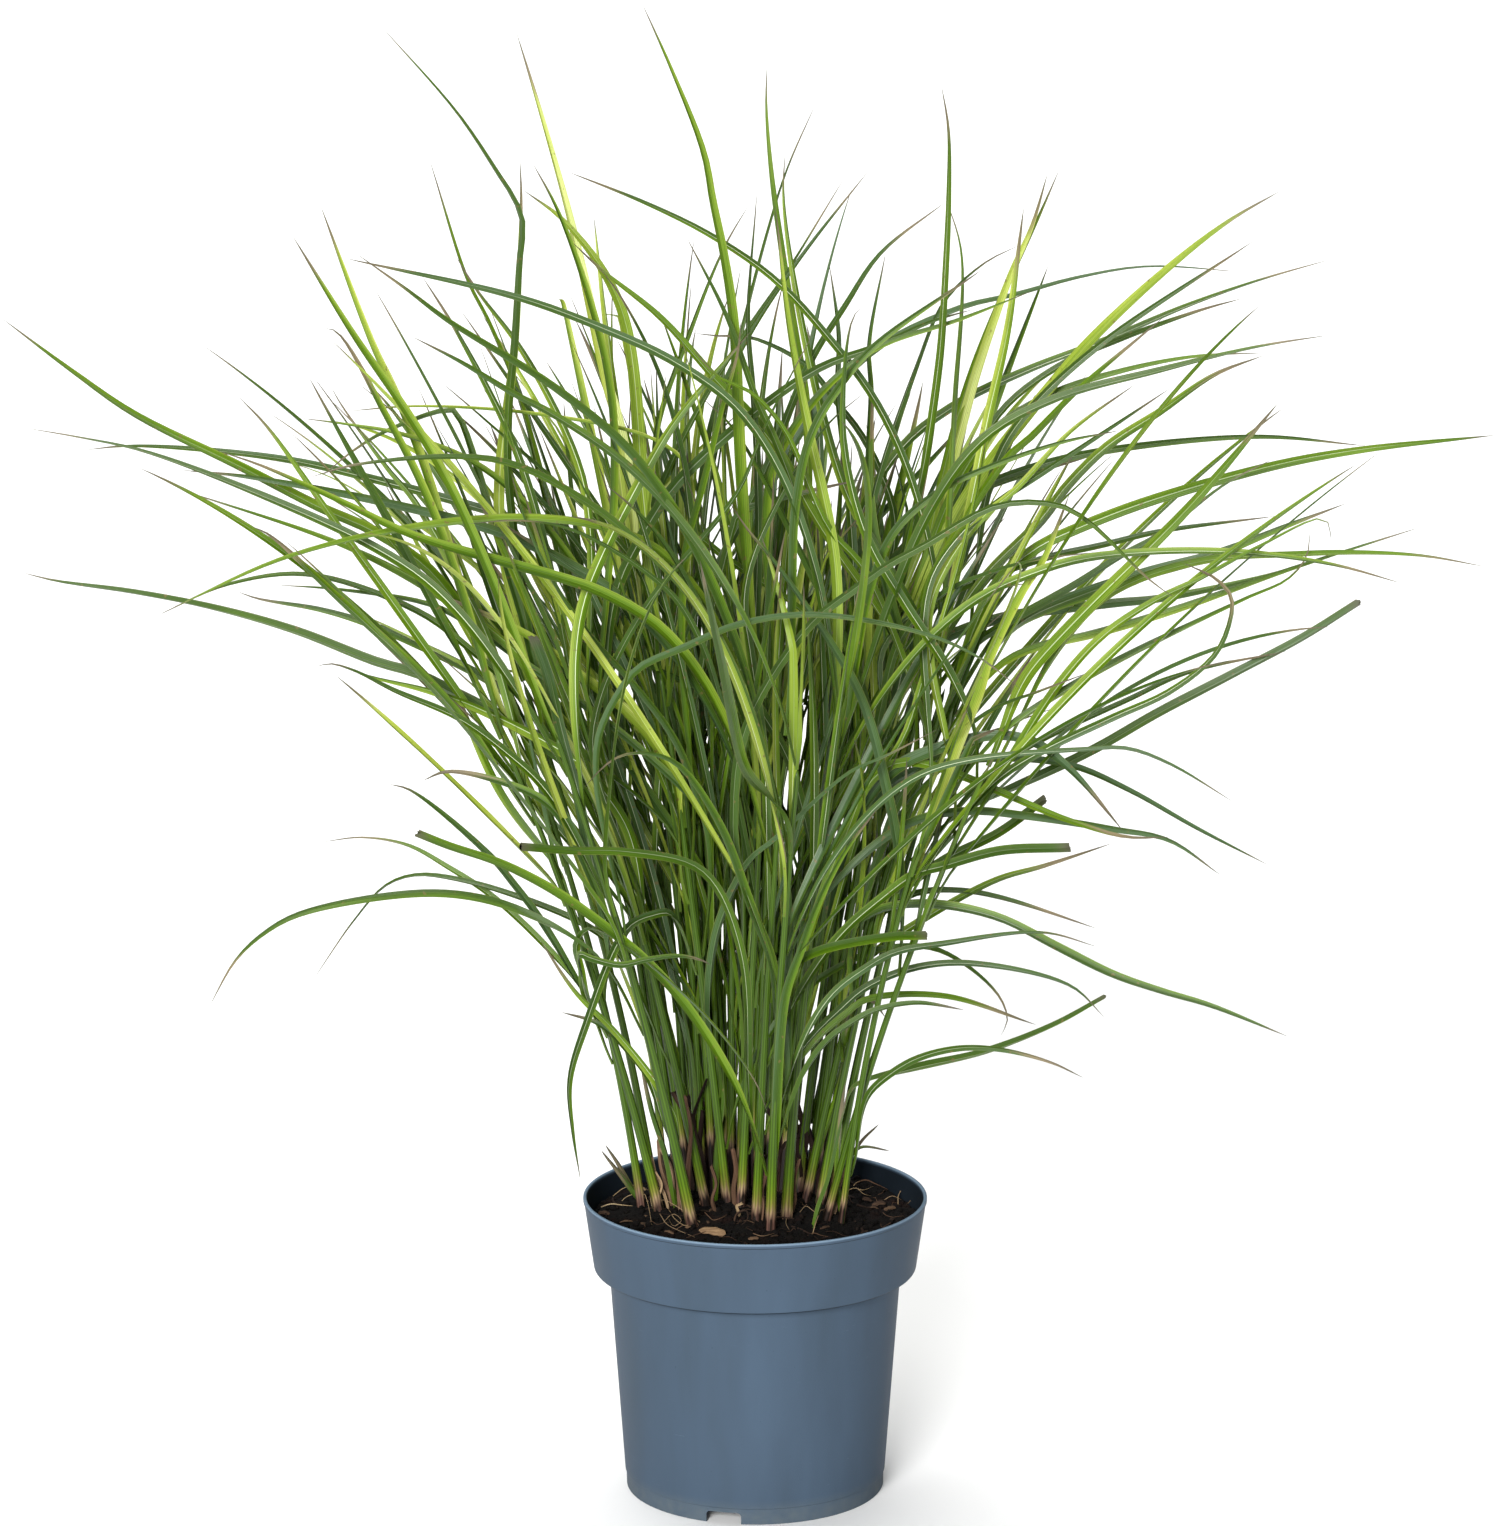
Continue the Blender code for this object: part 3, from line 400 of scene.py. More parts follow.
def put(name: str, data: bpy.types.ID) -> bpy.types.Object:
    """Puts a mesh, a light or a camera in the scene.

    Args:
        name: The object's name.
        data: What it shows.

    Returns:
        The object.
    """
    made = bpy.data.objects.new(name, data)
    bpy.context.scene.collection.objects.link(made)
    return made


@dataclass(frozen=True)
class FrontView:
    """The eye that sees the plant's front, a little from above.

    Args:
        eye: Where it is.
        pitch: How far down it looks.
        focal: Pixels of the view to one metre at a distance of one metre.
        middle: The pixel it looks straight at, in the middle of the view.
    """

    eye: np.ndarray
    pitch: float = math.radians(11.55)
    focal: float = 4991.0
    middle: tuple = (750.0, 763.0)

    def axes(self) -> np.ndarray:
        """The directions to the right, ahead and up."""
        c, s = math.cos(self.pitch), math.sin(self.pitch)
        return np.array([[1.0, 0.0, 0.0], [0.0, c, -s], [0.0, s, c]])

    def place(self, px: tuple, axis: Axis, value: float) -> np.ndarray:
        """The place seen at a pixel.

        Args:
            px: The pixel.
            axis: The measure that is known.
            value: How far behind the pot's axis, or how high, the place lies.

        Returns:
            The place.
        """
        across, rise = (px[0] - self.middle[0]) / self.focal, (self.middle[1] - px[1]) / self.focal
        line = np.array([across, 1.0, rise]) @ self.axes()
        return self.eye + line * (value - self.eye[axis]) / line[axis]

    def seen(self, place: np.ndarray) -> np.ndarray:
        """The pixel at which the eye sees a place.

        Args:
            place: The place, or an array of places.

        Returns:
            The pixel, or an array of pixels.
        """
        right, far, up = np.moveaxis((place - self.eye) @ self.axes().T, -1, 0)
        return np.stack([self.middle[0] + self.focal * right / far,
                         self.middle[1] - self.focal * up / far], axis=-1)

    def camera(self) -> bpy.types.Object:
        """Stands a camera in for the eye.

        Returns:
            The camera.
        """
        data = bpy.data.cameras.new("front_view")
        data.lens = self.focal / (2 * self.middle[1]) * data.sensor_width
        data.clip_end = FLOOR_SIZE
        made = put("front_view", data)
        made.location = self.eye
        made.rotation_euler = (math.pi / 2 - self.pitch, 0.0, 0.0)
        return made


VIEW = FrontView(np.array([-0.0028, -2.655, 0.952]))


def add_piece(name: str, mesh: bpy.types.Mesh, finish: bpy.types.Material,
              sharp: float) -> bpy.types.Object:
    """Puts a mesh in the scene as a smooth piece that rides on the root body.

    Args:
        name: The object's name.
        mesh: Its mesh.
        finish: Its material.
        sharp: The angle in degrees past which an edge stays sharp.

    Returns:
        The object.
    """
    mesh.materials.append(finish)
    mesh.shade_smooth()
    mesh.set_sharp_from_angle(angle=math.radians(sharp))
    made = put(name, mesh)
    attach(made, "root")
    LOG.info("%s: %d faces", name, len(mesh.polygons))
    return made


class Skin:
    """A closed surface gathered from tubes and blades, each with surface maps of its own.

    The maps tell where a corner lies across and along its part, how far it is from the end and how
    long the dry end is, the part's tone and seed, and its place in a strip of the unit square.
    """

    MAPS = ("AcrossAlong", "FromEnd", "ToneSeed", "OFBake")
    # How far a part's strip keeps from the square's sides, and where it lies in its row
    STRIP_EDGE = 0.003
    STRIP_FROM, STRIP_FILL = 0.06, 0.88

    def __init__(self) -> None:
        """Starts with nothing."""
        self.places: list = []
        self.faces: list = []
        self.corners: dict = {name: [] for name in self.MAPS}
        self.count = 0

    def add(self, rings: np.ndarray, left: np.ndarray, right: np.ndarray, tone: tuple, dry: float,
            tip: np.ndarray | None = None) -> None:
        """Adds a part that runs through rings of corners.

        Args:
            rings: The corners, ring by ring.
            left: The map's place across at each face's first side.
            right: The same at its second side.
            tone: The part's tone and seed.
            dry: The length of its dry end.
            tip: The point on which it closes; without one it ends flat.
        """
        many, around = rings.shape[:2]
        centres = rings.mean(axis=1)
        if tip is not None:
            centres = np.vstack([centres, tip])
        run = run_along(centres)
        index = self.count + np.arange(many * around).reshape(many, around)
        steps = np.arange(around)
        self.places.append(rings.reshape(-1, 3))
        self.faces += quads(index)
        low, high = np.repeat(run[:many - 1], around), np.repeat(run[1:many], around)
        sides = [np.tile(side, many - 1) for side in (left, right, right, left)]
        rows = [np.tile(steps + more, many - 1) for more in (0, 1, 1, 0)]
        maps = [np.stack([np.stack(part, -1) for part in (sides, (low, low, high, high), rows)], -1)]
        self.count += many * around
        if tip is None:
            self.faces.append(index[-1].tolist())
            maps.append(np.column_stack([left, np.full(around, run[-1]), 0 * steps]))
        else:
            self.places.append(tip.reshape(1, 3))
            self.faces += fan(index[-1], self.count)
            self.count += 1
            near, far = np.full(around, run[-2]), np.full(around, run[-1])
            maps.append(np.stack([np.stack([left, right, (left + right) / 2], -1),
                                  np.stack([near, near, far], -1),
                                  np.stack([steps, steps + 1, steps + 0.5], -1)], -1))
        self.faces.append(index[0][::-1].tolist())
        maps.append(np.column_stack([left, 0.0 * steps, 0 * steps]))
        across, along, rows = np.concatenate([part.reshape(-1, 3) for part in maps]).T
        self.corners["AcrossAlong"].append(np.column_stack([across, along]))
        self.corners["FromEnd"].append(np.column_stack([run[-1] - along, np.full(len(along), dry)]))
        self.corners["ToneSeed"].append(np.tile(tone, (len(along), 1)))
        self.corners["OFBake"].append(np.column_stack([along / run[-1], rows / around]))

    def piece(self, name: str, finish: bpy.types.Material, slot: str, sharp: float = 60) -> bpy.types.Object:
        """The gathered mesh as an object of the scene.

        Args:
            name: The object's name.
            finish: Its material.
            slot: Not used.
            sharp: The angle in degrees past which an edge stays sharp.

        Returns:
            The object, riding on the root body.
        """
        mesh = bpy.data.meshes.new(name)
        mesh.from_pydata(np.concatenate(self.places).tolist(), [], self.faces)
        strips = self.corners["OFBake"]
        for number, strip in enumerate(strips):
            strip[:, 0] = self.STRIP_EDGE + (1 - 2 * self.STRIP_EDGE) * strip[:, 0]
            strip[:, 1] = (number + self.STRIP_FROM + self.STRIP_FILL * strip[:, 1]) / len(strips)
        for label, parts in self.corners.items():
            layer = mesh.uv_layers.new(name=label)
            layer.uv.foreach_set("vector", np.concatenate(parts).astype(np.float32).ravel())
        return add_piece(name, mesh, finish, sharp)


def carried_frames(middle: np.ndarray, across: np.ndarray) -> tuple:
    """Directions along and across a curve, carried along it without spin.

    Args:
        middle: The places of the curve.
        across: The direction across it at its start.

    Returns:
        The directions along, then those across.
    """
    alongs = [unit(b - a) for a, b in zip([middle[0], *middle[:-1]], [*middle[1:], middle[-1]])]
    acrosses = []
    for along in alongs:
        across = unit(across - (across @ along) * along)
        acrosses.append(across)
    return np.array(alongs), np.array(acrosses)


@dataclass(frozen=True)
class BladeForm:
    """The cut and the make of a grass blade.

    Args:
        width: Its greatest width.
        turn: The angle its face turns soon after the collar.
        twist: The angle it turns further up to its tip.
        tone: Its tone and seed.
        end: How it ends.
        dry: The length of its dry end.
        thickness: Its thickness beside the midrib.
    """

    width: float
    turn: float
    twist: float
    tone: tuple
    end: End = End.FINE
    dry: float = 0.012
    thickness: float = 0.00034


# A blade's section: corners from one margin over the upper side to the other, and back below
SECTION_ACROSS = np.array([1.0, 0.55, 0.13, 0.0, -0.13, -0.55, -1.0, -0.5, -0.13, 0.0, 0.13, 0.5])
SECTION_SIDE = np.array([0.0, 1.0, 1.0, 0.55, 1.0, 1.0, 0.0, -1.0, -1.0, -2.0, -1.0, -1.0])
UPPER_FACES = 6
UNDERSIDE_SHIFT = 2.0
# How steeply it folds at its collar, just above it and at its tip, and the length it opens over
CLASP_FOLD, OPEN_FOLD, UPPER_FOLD = 0.95, 0.42, 0.56
CLASP_LENGTH = 0.03
# The half width of a fine tip, which is drawn wider than the real hair so that it shows
HAIR = 0.00035
# A blade is narrow at its collar, and has its full width from this share of its length
COLLAR_WIDTH, FULL_FROM = 0.38, 0.22
# How late it tapers, and how much of the taper a cut end leaves
TAPERS = (2.6, 4.8)
CUT_TAPER = 0.45
# How ragged a cut end is, and how far one margin stands higher than the other
RAGGED = 0.0012
RIPPLE = 0.13
# It has turned its face by the first share of its length, and twists from the second on
TURNED_BY, TWISTED_FROM = 0.4, 0.25


def add_blade(skin: Skin, middle: np.ndarray, out: np.ndarray, form: BladeForm) -> None:
    """Gathers a folded grass blade along its midline.

    Args:
        skin: What gathers it.
        middle: Places along the midline from the collar to the tip.
        out: The direction in which the collar faces away from the stem.
        form: The blade's make.
    """
    share = np.linspace(0.0, 1.0, len(middle))
    length = float(np.linalg.norm(np.diff(middle, axis=0), axis=1).sum())
    alongs, acrosses = carried_frames(middle, np.cross(middle[1] - middle[0], out))
    angle = (form.turn * smooth_step(share / TURNED_BY)
             + form.twist * smooth_step((share - TWISTED_FROM) / (1 - TWISTED_FROM)))
    wide = np.cos(angle)[:, None] * acrosses + np.sin(angle)[:, None] * np.cross(alongs, acrosses)
    upper = np.cross(alongs, wide)

    wander = np.random.default_rng(int(form.tone[1] * 1000))
    drawn_in = share * (CUT_TAPER if form.end is End.CUT else 1.0)
    taper = wander.uniform(*TAPERS)
    widened = COLLAR_WIDTH + (1 - COLLAR_WIDTH) * smooth_step(share / FULL_FROM)
    half = form.width / 2 * widened * (1 - drawn_in ** taper)
    half = half + HAIR * (1 - drawn_in ** 20)
    opened = OPEN_FOLD + (UPPER_FOLD - OPEN_FOLD) * share
    fold = (CLASP_FOLD - opened) * np.exp(-share * length / CLASP_LENGTH) + opened
    ripple = np.interp(share, np.linspace(0, 1, 9), wander.uniform(-RIPPLE, RIPPLE, 9))
    reach = np.abs(SECTION_ACROSS)
    lift = (fold[:, None] * reach ** 1.25
            + ripple[:, None] * np.sign(SECTION_ACROSS) * reach) * half[:, None]
    thick = form.thickness / 2 * np.sqrt(np.clip(half / (form.width / 2), 0.0, 1.0))
    lift = lift + thick[:, None] * SECTION_SIDE
    rings = (middle[:, None, :] + (half[:, None] * SECTION_ACROSS)[..., None] * wide[:, None, :]
             + lift[..., None] * upper[:, None, :])

    left = (SECTION_ACROSS + 1) / 2
    right = np.roll(left, -1)
    below = UNDERSIDE_SHIFT * (np.arange(len(left)) >= UPPER_FACES)
    if form.end is End.CUT:
        rings[-1] += wander.uniform(-RAGGED, RAGGED, len(left))[:, None] * alongs[-1]
        skin.add(rings, left + below, right + below, form.tone, form.dry)
    else:
        skin.add(rings[:-1], left + below, right + below, form.tone, form.dry, tip=middle[-1])


def add_tube(skin: Skin, middle: np.ndarray, radii: np.ndarray, tone: tuple, flat: float = 1.0,
             start: tuple = (0.31, 0.2, 0.93)) -> None:
    """Gathers a round strand, such as a stem or a root, along its midline.

    Args:
        skin: What gathers it.
        middle: Places along the midline.
        radii: The strand's radius at each corner of each ring.
        tone: Its tone and seed.
        flat: Its depth as a share of its width.
        start: A direction square to the side from which its corners are counted.
    """
    alongs, acrosses = carried_frames(middle, np.cross(middle[1] - middle[0], start))
    sides = radii.shape[1]
    turns = turns_round(sides)
    around = (np.cos(turns)[:, None] * acrosses[:, None, :]
              + flat * np.sin(turns)[:, None] * np.cross(alongs, acrosses)[:, None, :])
    rings = middle[:, None, :] + radii[..., None] * around
    left = np.arange(sides) / sides
    skin.add(rings[:-1], left, left + 1 / sides, tone, 0.0, tip=middle[-1])


@dataclass(eq=False)
class Stem:
    """A shoot's stem of rolled sheaths, with its foot on the soil and its lean out of the clump.

    Args:
        foot: Where it stands.
        lean: How far it leans sideways to a metre of height.
        height: Its height.
        radius: Its radius at the foot.
        foot_depth: How deep it stands in the soil.
        top_radius: Its radius at the top.
        taper: How it narrows on the way; 1 is even.
        wind: The angle that the sheath's edge winds through in a metre.
        outward_lean: How far it leans out of the clump to a metre of height.
        outward_bend: How much it bends out further up.
        sample: The step by which its heading is measured.
        sides: How many corners a ring has.
        rings: How many rings there are.
        swelling: How much thicker it is at the foot, as a share of its radius.
        swelling_height: The height over which that wears off.
        ridge: The height of the sheath's edge, as a share of the radius.
        ridge_width: The edge's width, as an angle.
    """

    foot: np.ndarray
    lean: float
    height: float
    radius: float
    foot_depth: float = 0.010
    top_radius: float = 0.0013
    taper: float = 0.8
    wind: float = 9.0
    outward_lean: float = 0.13
    outward_bend: float = 0.40
    sample: float = 0.002
    sides: int = 14
    rings: int = 44
    swelling: float = 0.10
    swelling_height: float = 0.012
    ridge: float = 0.20
    ridge_width: float = 0.32

    def __post_init__(self) -> None:
        """Sets the foot on the soil and finds its way out of the clump."""
        self.foot = np.array([self.foot[0], self.foot[1], CROWN_Z])
        self.out = (self.foot[:2] - CROWN_CENTRE) / CROWN_HALF

    def axis(self, up: float) -> np.ndarray:
        """The middle of the stem.

        Args:
            up: The height above the soil.

        Returns:
            The place.
        """
        bend = self.outward_bend * up * abs(up)
        return self.foot + np.array([self.lean * up + self.out[0] * bend,
                                     self.out[1] * (self.outward_lean * up + bend), up])

    def heading(self, up: float) -> np.ndarray:
        """The direction in which the stem grows at a height above the soil."""
        return unit(self.axis(up + self.sample) - self.axis(up - self.sample))

    def thickness(self, up: float) -> float:
        """The stem's radius at a height above the soil."""
        share = min(max(up, 0.0) / self.height, 1.0)
        return self.radius + (self.top_radius - self.radius) * share ** self.taper

    def add_to(self, skin: Skin, tone: float, seed: float) -> None:
        """Gathers the stem, up which the edge of the outer sheath winds as a ridge.

        Args:
            skin: What gathers it.
            tone: Its tone.
            seed: Its seed, which also says where round the stem the edge starts.
        """
        heights = np.linspace(-self.foot_depth, self.height, self.rings)
        turns = turns_round(self.sides)
        edge = 2 * math.pi * seed + (heights + self.foot_depth) * self.wind
        aside = np.abs((turns - edge[:, None] + math.pi) % (2 * math.pi) - math.pi)
        swollen = 1 + self.swelling * np.exp(-np.clip(heights, 0, None) / self.swelling_height)
        radii = np.array([self.thickness(up) for up in heights]) * swollen
        radii = radii[:, None] * (1 + self.ridge * np.exp(-(aside / self.ridge_width) ** 2))
        middle = np.array([self.axis(up) for up in heights])
        add_tube(skin, middle, radii, (tone, seed), start=(0.0, 1.0, 0.0))


def linear(colour: str) -> tuple:
    """Turns an sRGB colour to linear.

    Args:
        colour: The colour in hex.

    Returns:
        Its linear red, green and blue, with full opacity.
    """
    shares = [int(colour[k:k + 2], 16) / 255 for k in (1, 3, 5)]
    light = [s / 12.92 if s <= 0.04045 else ((s + 0.055) / 1.055) ** 2.4 for s in shares]
    return (*light, 1.0)


class Finish:
    """A material whose nodes are added one by one."""

    def __init__(self, name: str) -> None:
        """Starts an empty material.

        Args:
            name: Its name.
        """
        self.material = bpy.data.materials.new(name)
        self.material.use_nodes = True
        self.tree = self.material.node_tree
        self.tree.nodes.clear()

    def add(self, kind: str, feeds: tuple | dict = (), give: int | str = 0, stops: tuple = (),
            **settings) -> bpy.types.NodeSocket | None:
        """Adds a node with its settings and links.

        Args:
            kind: The node's type, with its operation after a colon if it has one.
            feeds: For each socket its value, its hex colour or the socket that feeds it.
            give: The output to give.
            stops: A ramp's stops as (place, colour) pairs.
            settings: The node's other attributes.

        Returns:
            That output, or None from a node without one.
        """
        kind, _, operation = kind.partition(":")
        node = self.tree.nodes.new("ShaderNode" + kind)
        if operation:
            node.operation = operation
        for name, value in settings.items():
            setattr(node, name, value)
        for place, _ in stops[2:]:
            node.color_ramp.elements.new(place)
        for number, (place, colour) in enumerate(stops):
            node.color_ramp.elements[number].position = place
            node.color_ramp.elements[number].color = linear(colour)
        for socket, value in feeds.items() if isinstance(feeds, dict) else enumerate(feeds):
            if isinstance(value, bpy.types.NodeSocket):
                self.tree.links.new(value, node.inputs[socket])
            else:
                node.inputs[socket].default_value = linear(value) if isinstance(value, str) else value
        return node.outputs[give] if len(node.outputs) else None

    def plant_maps(self) -> list:
        """Reads the maps that a Skin gives its surface.

        Returns:
            Where a point lies across and along its part, its distance from the end, the dry end's
            length, and the part's tone and seed.
        """
        given = []
        for name in Skin.MAPS[:3]:
            place = self.add("UVMap", uv_map=name)
            given += [self.add("SeparateXYZ", (place,), axis) for axis in (0, 1)]
        return given

    def done(self, surface: bpy.types.NodeSocket) -> bpy.types.Material:
        """Ends the tree in a surface and gives the material."""
        self.add("OutputMaterial", {"Surface": surface})
        return self.material


@dataclass(frozen=True)
class LivingBlade:
    """A living grass blade: waxy skin over fine parallel veins and a pale midrib.

    The streaks and the patches keep neighbouring blades apart to the eye, the midrib gives a blade
    its bright line, and the light that passes through makes the upper clump glow.
    """

    tones: tuple = ((0.0, "#4a643c"), (0.14, "#3c581c"), (0.27, "#385406"), (0.46, "#567609"),
                    (0.68, "#82992c"), (0.86, "#aab84c"), (1.0, "#c6d07c"))
    midrib: str = "#dfe9c4"
    margin: str = "#77753f"
    dry_pale: str = "#8f7f60"
    dry_dark: str = "#504b3e"
    collar: str = "#4b6714"
    spot: str = "#6c5c34"
    passed: float = 0.15
    # Streaks a sixth of the blade wide and 60 mm long, patches of 90 mm and rusty spots of 4 mm
    streaks_across: float = 6.0
    streaks_along: float = 17.0
    patches: float = 11.0
    spots_along: float = 150.0
    # Veins across a blade, fewer than the real ones 0.3 mm apart so that they show
    veins: int = 7

    def build(self) -> bpy.types.Material:
        """Makes the material of every blade.

        Returns:
            The material.
        """
        f = Finish("Grass blade, grown, waxy skin")
        raw, along, to_tip, dry, tone, seed = f.plant_maps()
        below = f.add("Math:GREATER_THAN", (raw, 1.5))
        across = f.add("Math:MULTIPLY_ADD", (below, -UNDERSIDE_SHIFT, raw))
        signed = f.add("Math:MULTIPLY_ADD", (across, 2.0, -1.0))
        aside = f.add("Math:ABSOLUTE", (signed,))

        wide = f.add("Math:MULTIPLY", (across, self.streaks_across))
        long = f.add("Math:MULTIPLY", (along, self.streaks_along))
        shift = f.add("Math:MULTIPLY_ADD", (seed, 71.0, below))
        lay = f.add("CombineXYZ", (wide, long, shift))
        streak = f.add("TexNoise", {"Vector": lay, "Scale": 1.0, "Detail": 3.0})
        lay = f.add("CombineXYZ", (shift, along, seed))
        patch = f.add("TexNoise", {"Vector": lay, "Scale": self.patches, "Detail": 2.0})
        shade = f.add("Math:MULTIPLY_ADD", (streak, 0.30, tone))
        shade = f.add("Math:MULTIPLY_ADD", (patch, 0.44, shade))
        # One half of a blade is painted a little paler than the other: painted light and shade on the two
        # sides of its fold
        painted_half_shade = f.add("Math:MULTIPLY", (signed, f.add("Math:MULTIPLY_ADD", (seed, 0.5, -0.25))))
        shade = f.add("Math:ADD", (f.add("Math:SUBTRACT", (shade, 0.37)), painted_half_shade))
        colour = f.add("ValToRGB", (shade,), stops=self.tones)

        wave = f.add("Math:SINE", (f.add("Math:MULTIPLY", (across, 2 * self.veins * math.pi)),))
        vein = f.add("MapRange", (wave, -1.0, 1.0, 0.78, 1.12))
        colour = f.add("Mix", {SHARE: 1.0, FIRST: colour, SECOND: vein}, MIXED, data_type="RGBA",
                       blend_type="MULTIPLY")

        # The base has the green of the sheath that it grows from
        young = f.add("MapRange", (along, 0.0, 0.045, 0.9, 0.0))
        # The midrib pales on some blades only, most on the upper side, and not at the tip
        rib = f.add("MapRange", (aside, 0.03, 0.09, 1.0, 0.0), interpolation_type="SMOOTHSTEP")
        for span in ((to_tip, 0.015, 0.12, 0.0, 1.0), (patch, 0.36, 0.60, 0.35, 1.0),
                     (seed, 0.28, 0.80, 0.0, 1.0), (below, 0.0, 1.0, 1.0, 0.3)):
            rib = f.add("Math:MULTIPLY", (rib, f.add("MapRange", span)))
        edge = f.add("MapRange", (aside, 0.86, 0.99, 0.0, 0.9))
        edge = f.add("Math:MULTIPLY", (edge, patch))

        lay = f.add("CombineXYZ", (across, f.add("Math:MULTIPLY", (along, self.spots_along)), shift))
        spots = f.add("TexNoise", {"Vector": lay, "Scale": 1.6, "Detail": 1.0})
        spots = f.add("MapRange", (spots, 0.70, 0.76, 0.0, 0.7))

        # The dry end creeps further down along some veins than along others
        crept = f.add("Math:MULTIPLY_ADD", (streak, 1.76, -0.08))
        front = f.add("Math:MULTIPLY", (dry, crept))
        dead = f.add("MapRange", (f.add("Math:SUBTRACT", (front, to_tip)), -0.010, 0.004, 0.0, 0.95),
                     interpolation_type="SMOOTHSTEP")
        brown = f.add("MapRange", (to_tip, 0.0, 0.03, 1.0, 0.25))
        straw = f.add("Mix", {SHARE: brown, FIRST: self.dry_pale, SECOND: self.dry_dark}, MIXED,
                      data_type="RGBA")
        for share, second in ((young, self.collar), (rib, self.midrib), (edge, self.margin),
                              (spots, self.spot), (dead, straw)):
            colour = f.add("Mix", {SHARE: share, FIRST: colour, SECOND: second}, MIXED, data_type="RGBA")

        raised = f.add("Math:MULTIPLY_ADD", (wave, 0.5, streak))
        bumps = f.add("Bump", {"Height": raised, "Strength": 0.4, "Distance": 0.00014})
        rough = f.add("MapRange", (streak, 0.3, 0.7, 0.32, 0.48))
        skin = f.add("BsdfPrincipled", {"Base Color": colour, "Roughness": rough,
                                        "Specular IOR Level": 0.30, "Normal": bumps})
        glow = f.add("HueSaturation", {"Hue": 0.49, "Value": 1.6, "Color": colour})
        through = f.add("BsdfTranslucent", {"Color": glow})
        return f.done(f.add("MixShader", (self.passed, skin, through)))


@dataclass(frozen=True)
class LeafSheath:
    """Rolled leaf sheaths: brown and purple at the soil, tan just above it and green further up.

    The fine lengthwise lines make a stem look rolled, not turned.
    """

    climb: tuple = ((0.0, "#1d1510"), (0.05, "#6b5544"), (0.12, "#96805f"), (0.21, "#7b7a33"),
                    (0.34, "#617319"), (0.55, "#4f6b12"), (0.78, "#45600e"), (1.0, "#3c570c"))
    blush: str = "#674a40"
    seam: str = "#22330f"
    climb_height: float = 0.040
    # Fine lines round a stem, a little coarser than the real ones, and streaks some 27 mm long
    lines_round: float = 9.0
    streaks_along: float = 17.0
    streak_scale: float = 2.2

    def build(self) -> bpy.types.Material:
        """Makes the material of every stem.

        Returns:
            The material.
        """
        f = Finish("Grass stem, rolled sheaths")
        around, along, _, _, tone, seed = f.plant_maps()
        up = f.add("Math:SUBTRACT", (along, Stem.foot_depth))

        # The way round wraps, so the lines are laid on a circle
        angle = f.add("Math:MULTIPLY", (around, 2 * math.pi))
        shift = f.add("Math:MULTIPLY", (up, self.streaks_along))
        shift = f.add("Math:MULTIPLY_ADD", (seed, 61.0, shift))
        lay = f.add("CombineXYZ", (f.add("Math:COSINE", (angle,)), f.add("Math:SINE", (angle,)), shift))
        streak = f.add("TexNoise", {"Vector": lay, "Scale": self.streak_scale, "Detail": 4.0})
        share = f.add("Math:DIVIDE", (up, self.climb_height))
        share = f.add("Math:MULTIPLY_ADD", (streak, 0.36, share))
        share = f.add("Math:MULTIPLY_ADD", (tone, 0.35, share))
        colour = f.add("ValToRGB", (f.add("Math:SUBTRACT", (share, 0.36)),), stops=self.climb)

        low = f.add("MapRange", (up, 0.003, 0.024, 0.7, 0.0))
        blushed = f.add("TexNoise", {"Vector": lay, "Scale": 1.1, "Detail": 1.0})
        low = f.add("Math:MULTIPLY", (low, f.add("MapRange", (blushed, 0.46, 0.60, 0.0, 1.0))))
        # The edge of the outer sheath draws a dark line that winds up the stem
        edge = f.add("Math:MULTIPLY_ADD", (along, Stem.wind / (2 * math.pi), seed))
        edge = f.add("Math:FRACT", (f.add("Math:SUBTRACT", (around, edge)),))
        edge = f.add("MapRange", (edge, 0.035, 0.075, 0.8, 0.0), interpolation_type="SMOOTHSTEP")
        for share, second in ((low, self.blush), (edge, self.seam)):
            colour = f.add("Mix", {SHARE: share, FIRST: colour, SECOND: second}, MIXED, data_type="RGBA")
        lines = f.add("Math:SINE", (f.add("Math:MULTIPLY", (angle, self.lines_round)),))
        line = f.add("MapRange", (lines, -1.0, 1.0, 0.60, 1.22))
        colour = f.add("Mix", {SHARE: 1.0, FIRST: colour, SECOND: line}, MIXED, data_type="RGBA",
                       blend_type="MULTIPLY")
        raised = f.add("Math:MULTIPLY_ADD", (lines, 0.4, streak))
        bumps = f.add("Bump", {"Height": raised, "Strength": 0.5, "Distance": 0.0002})
        return f.done(f.add("BsdfPrincipled", {"Base Color": colour, "Roughness": 0.42,
                                               "Specular IOR Level": 0.30, "Normal": bumps}))


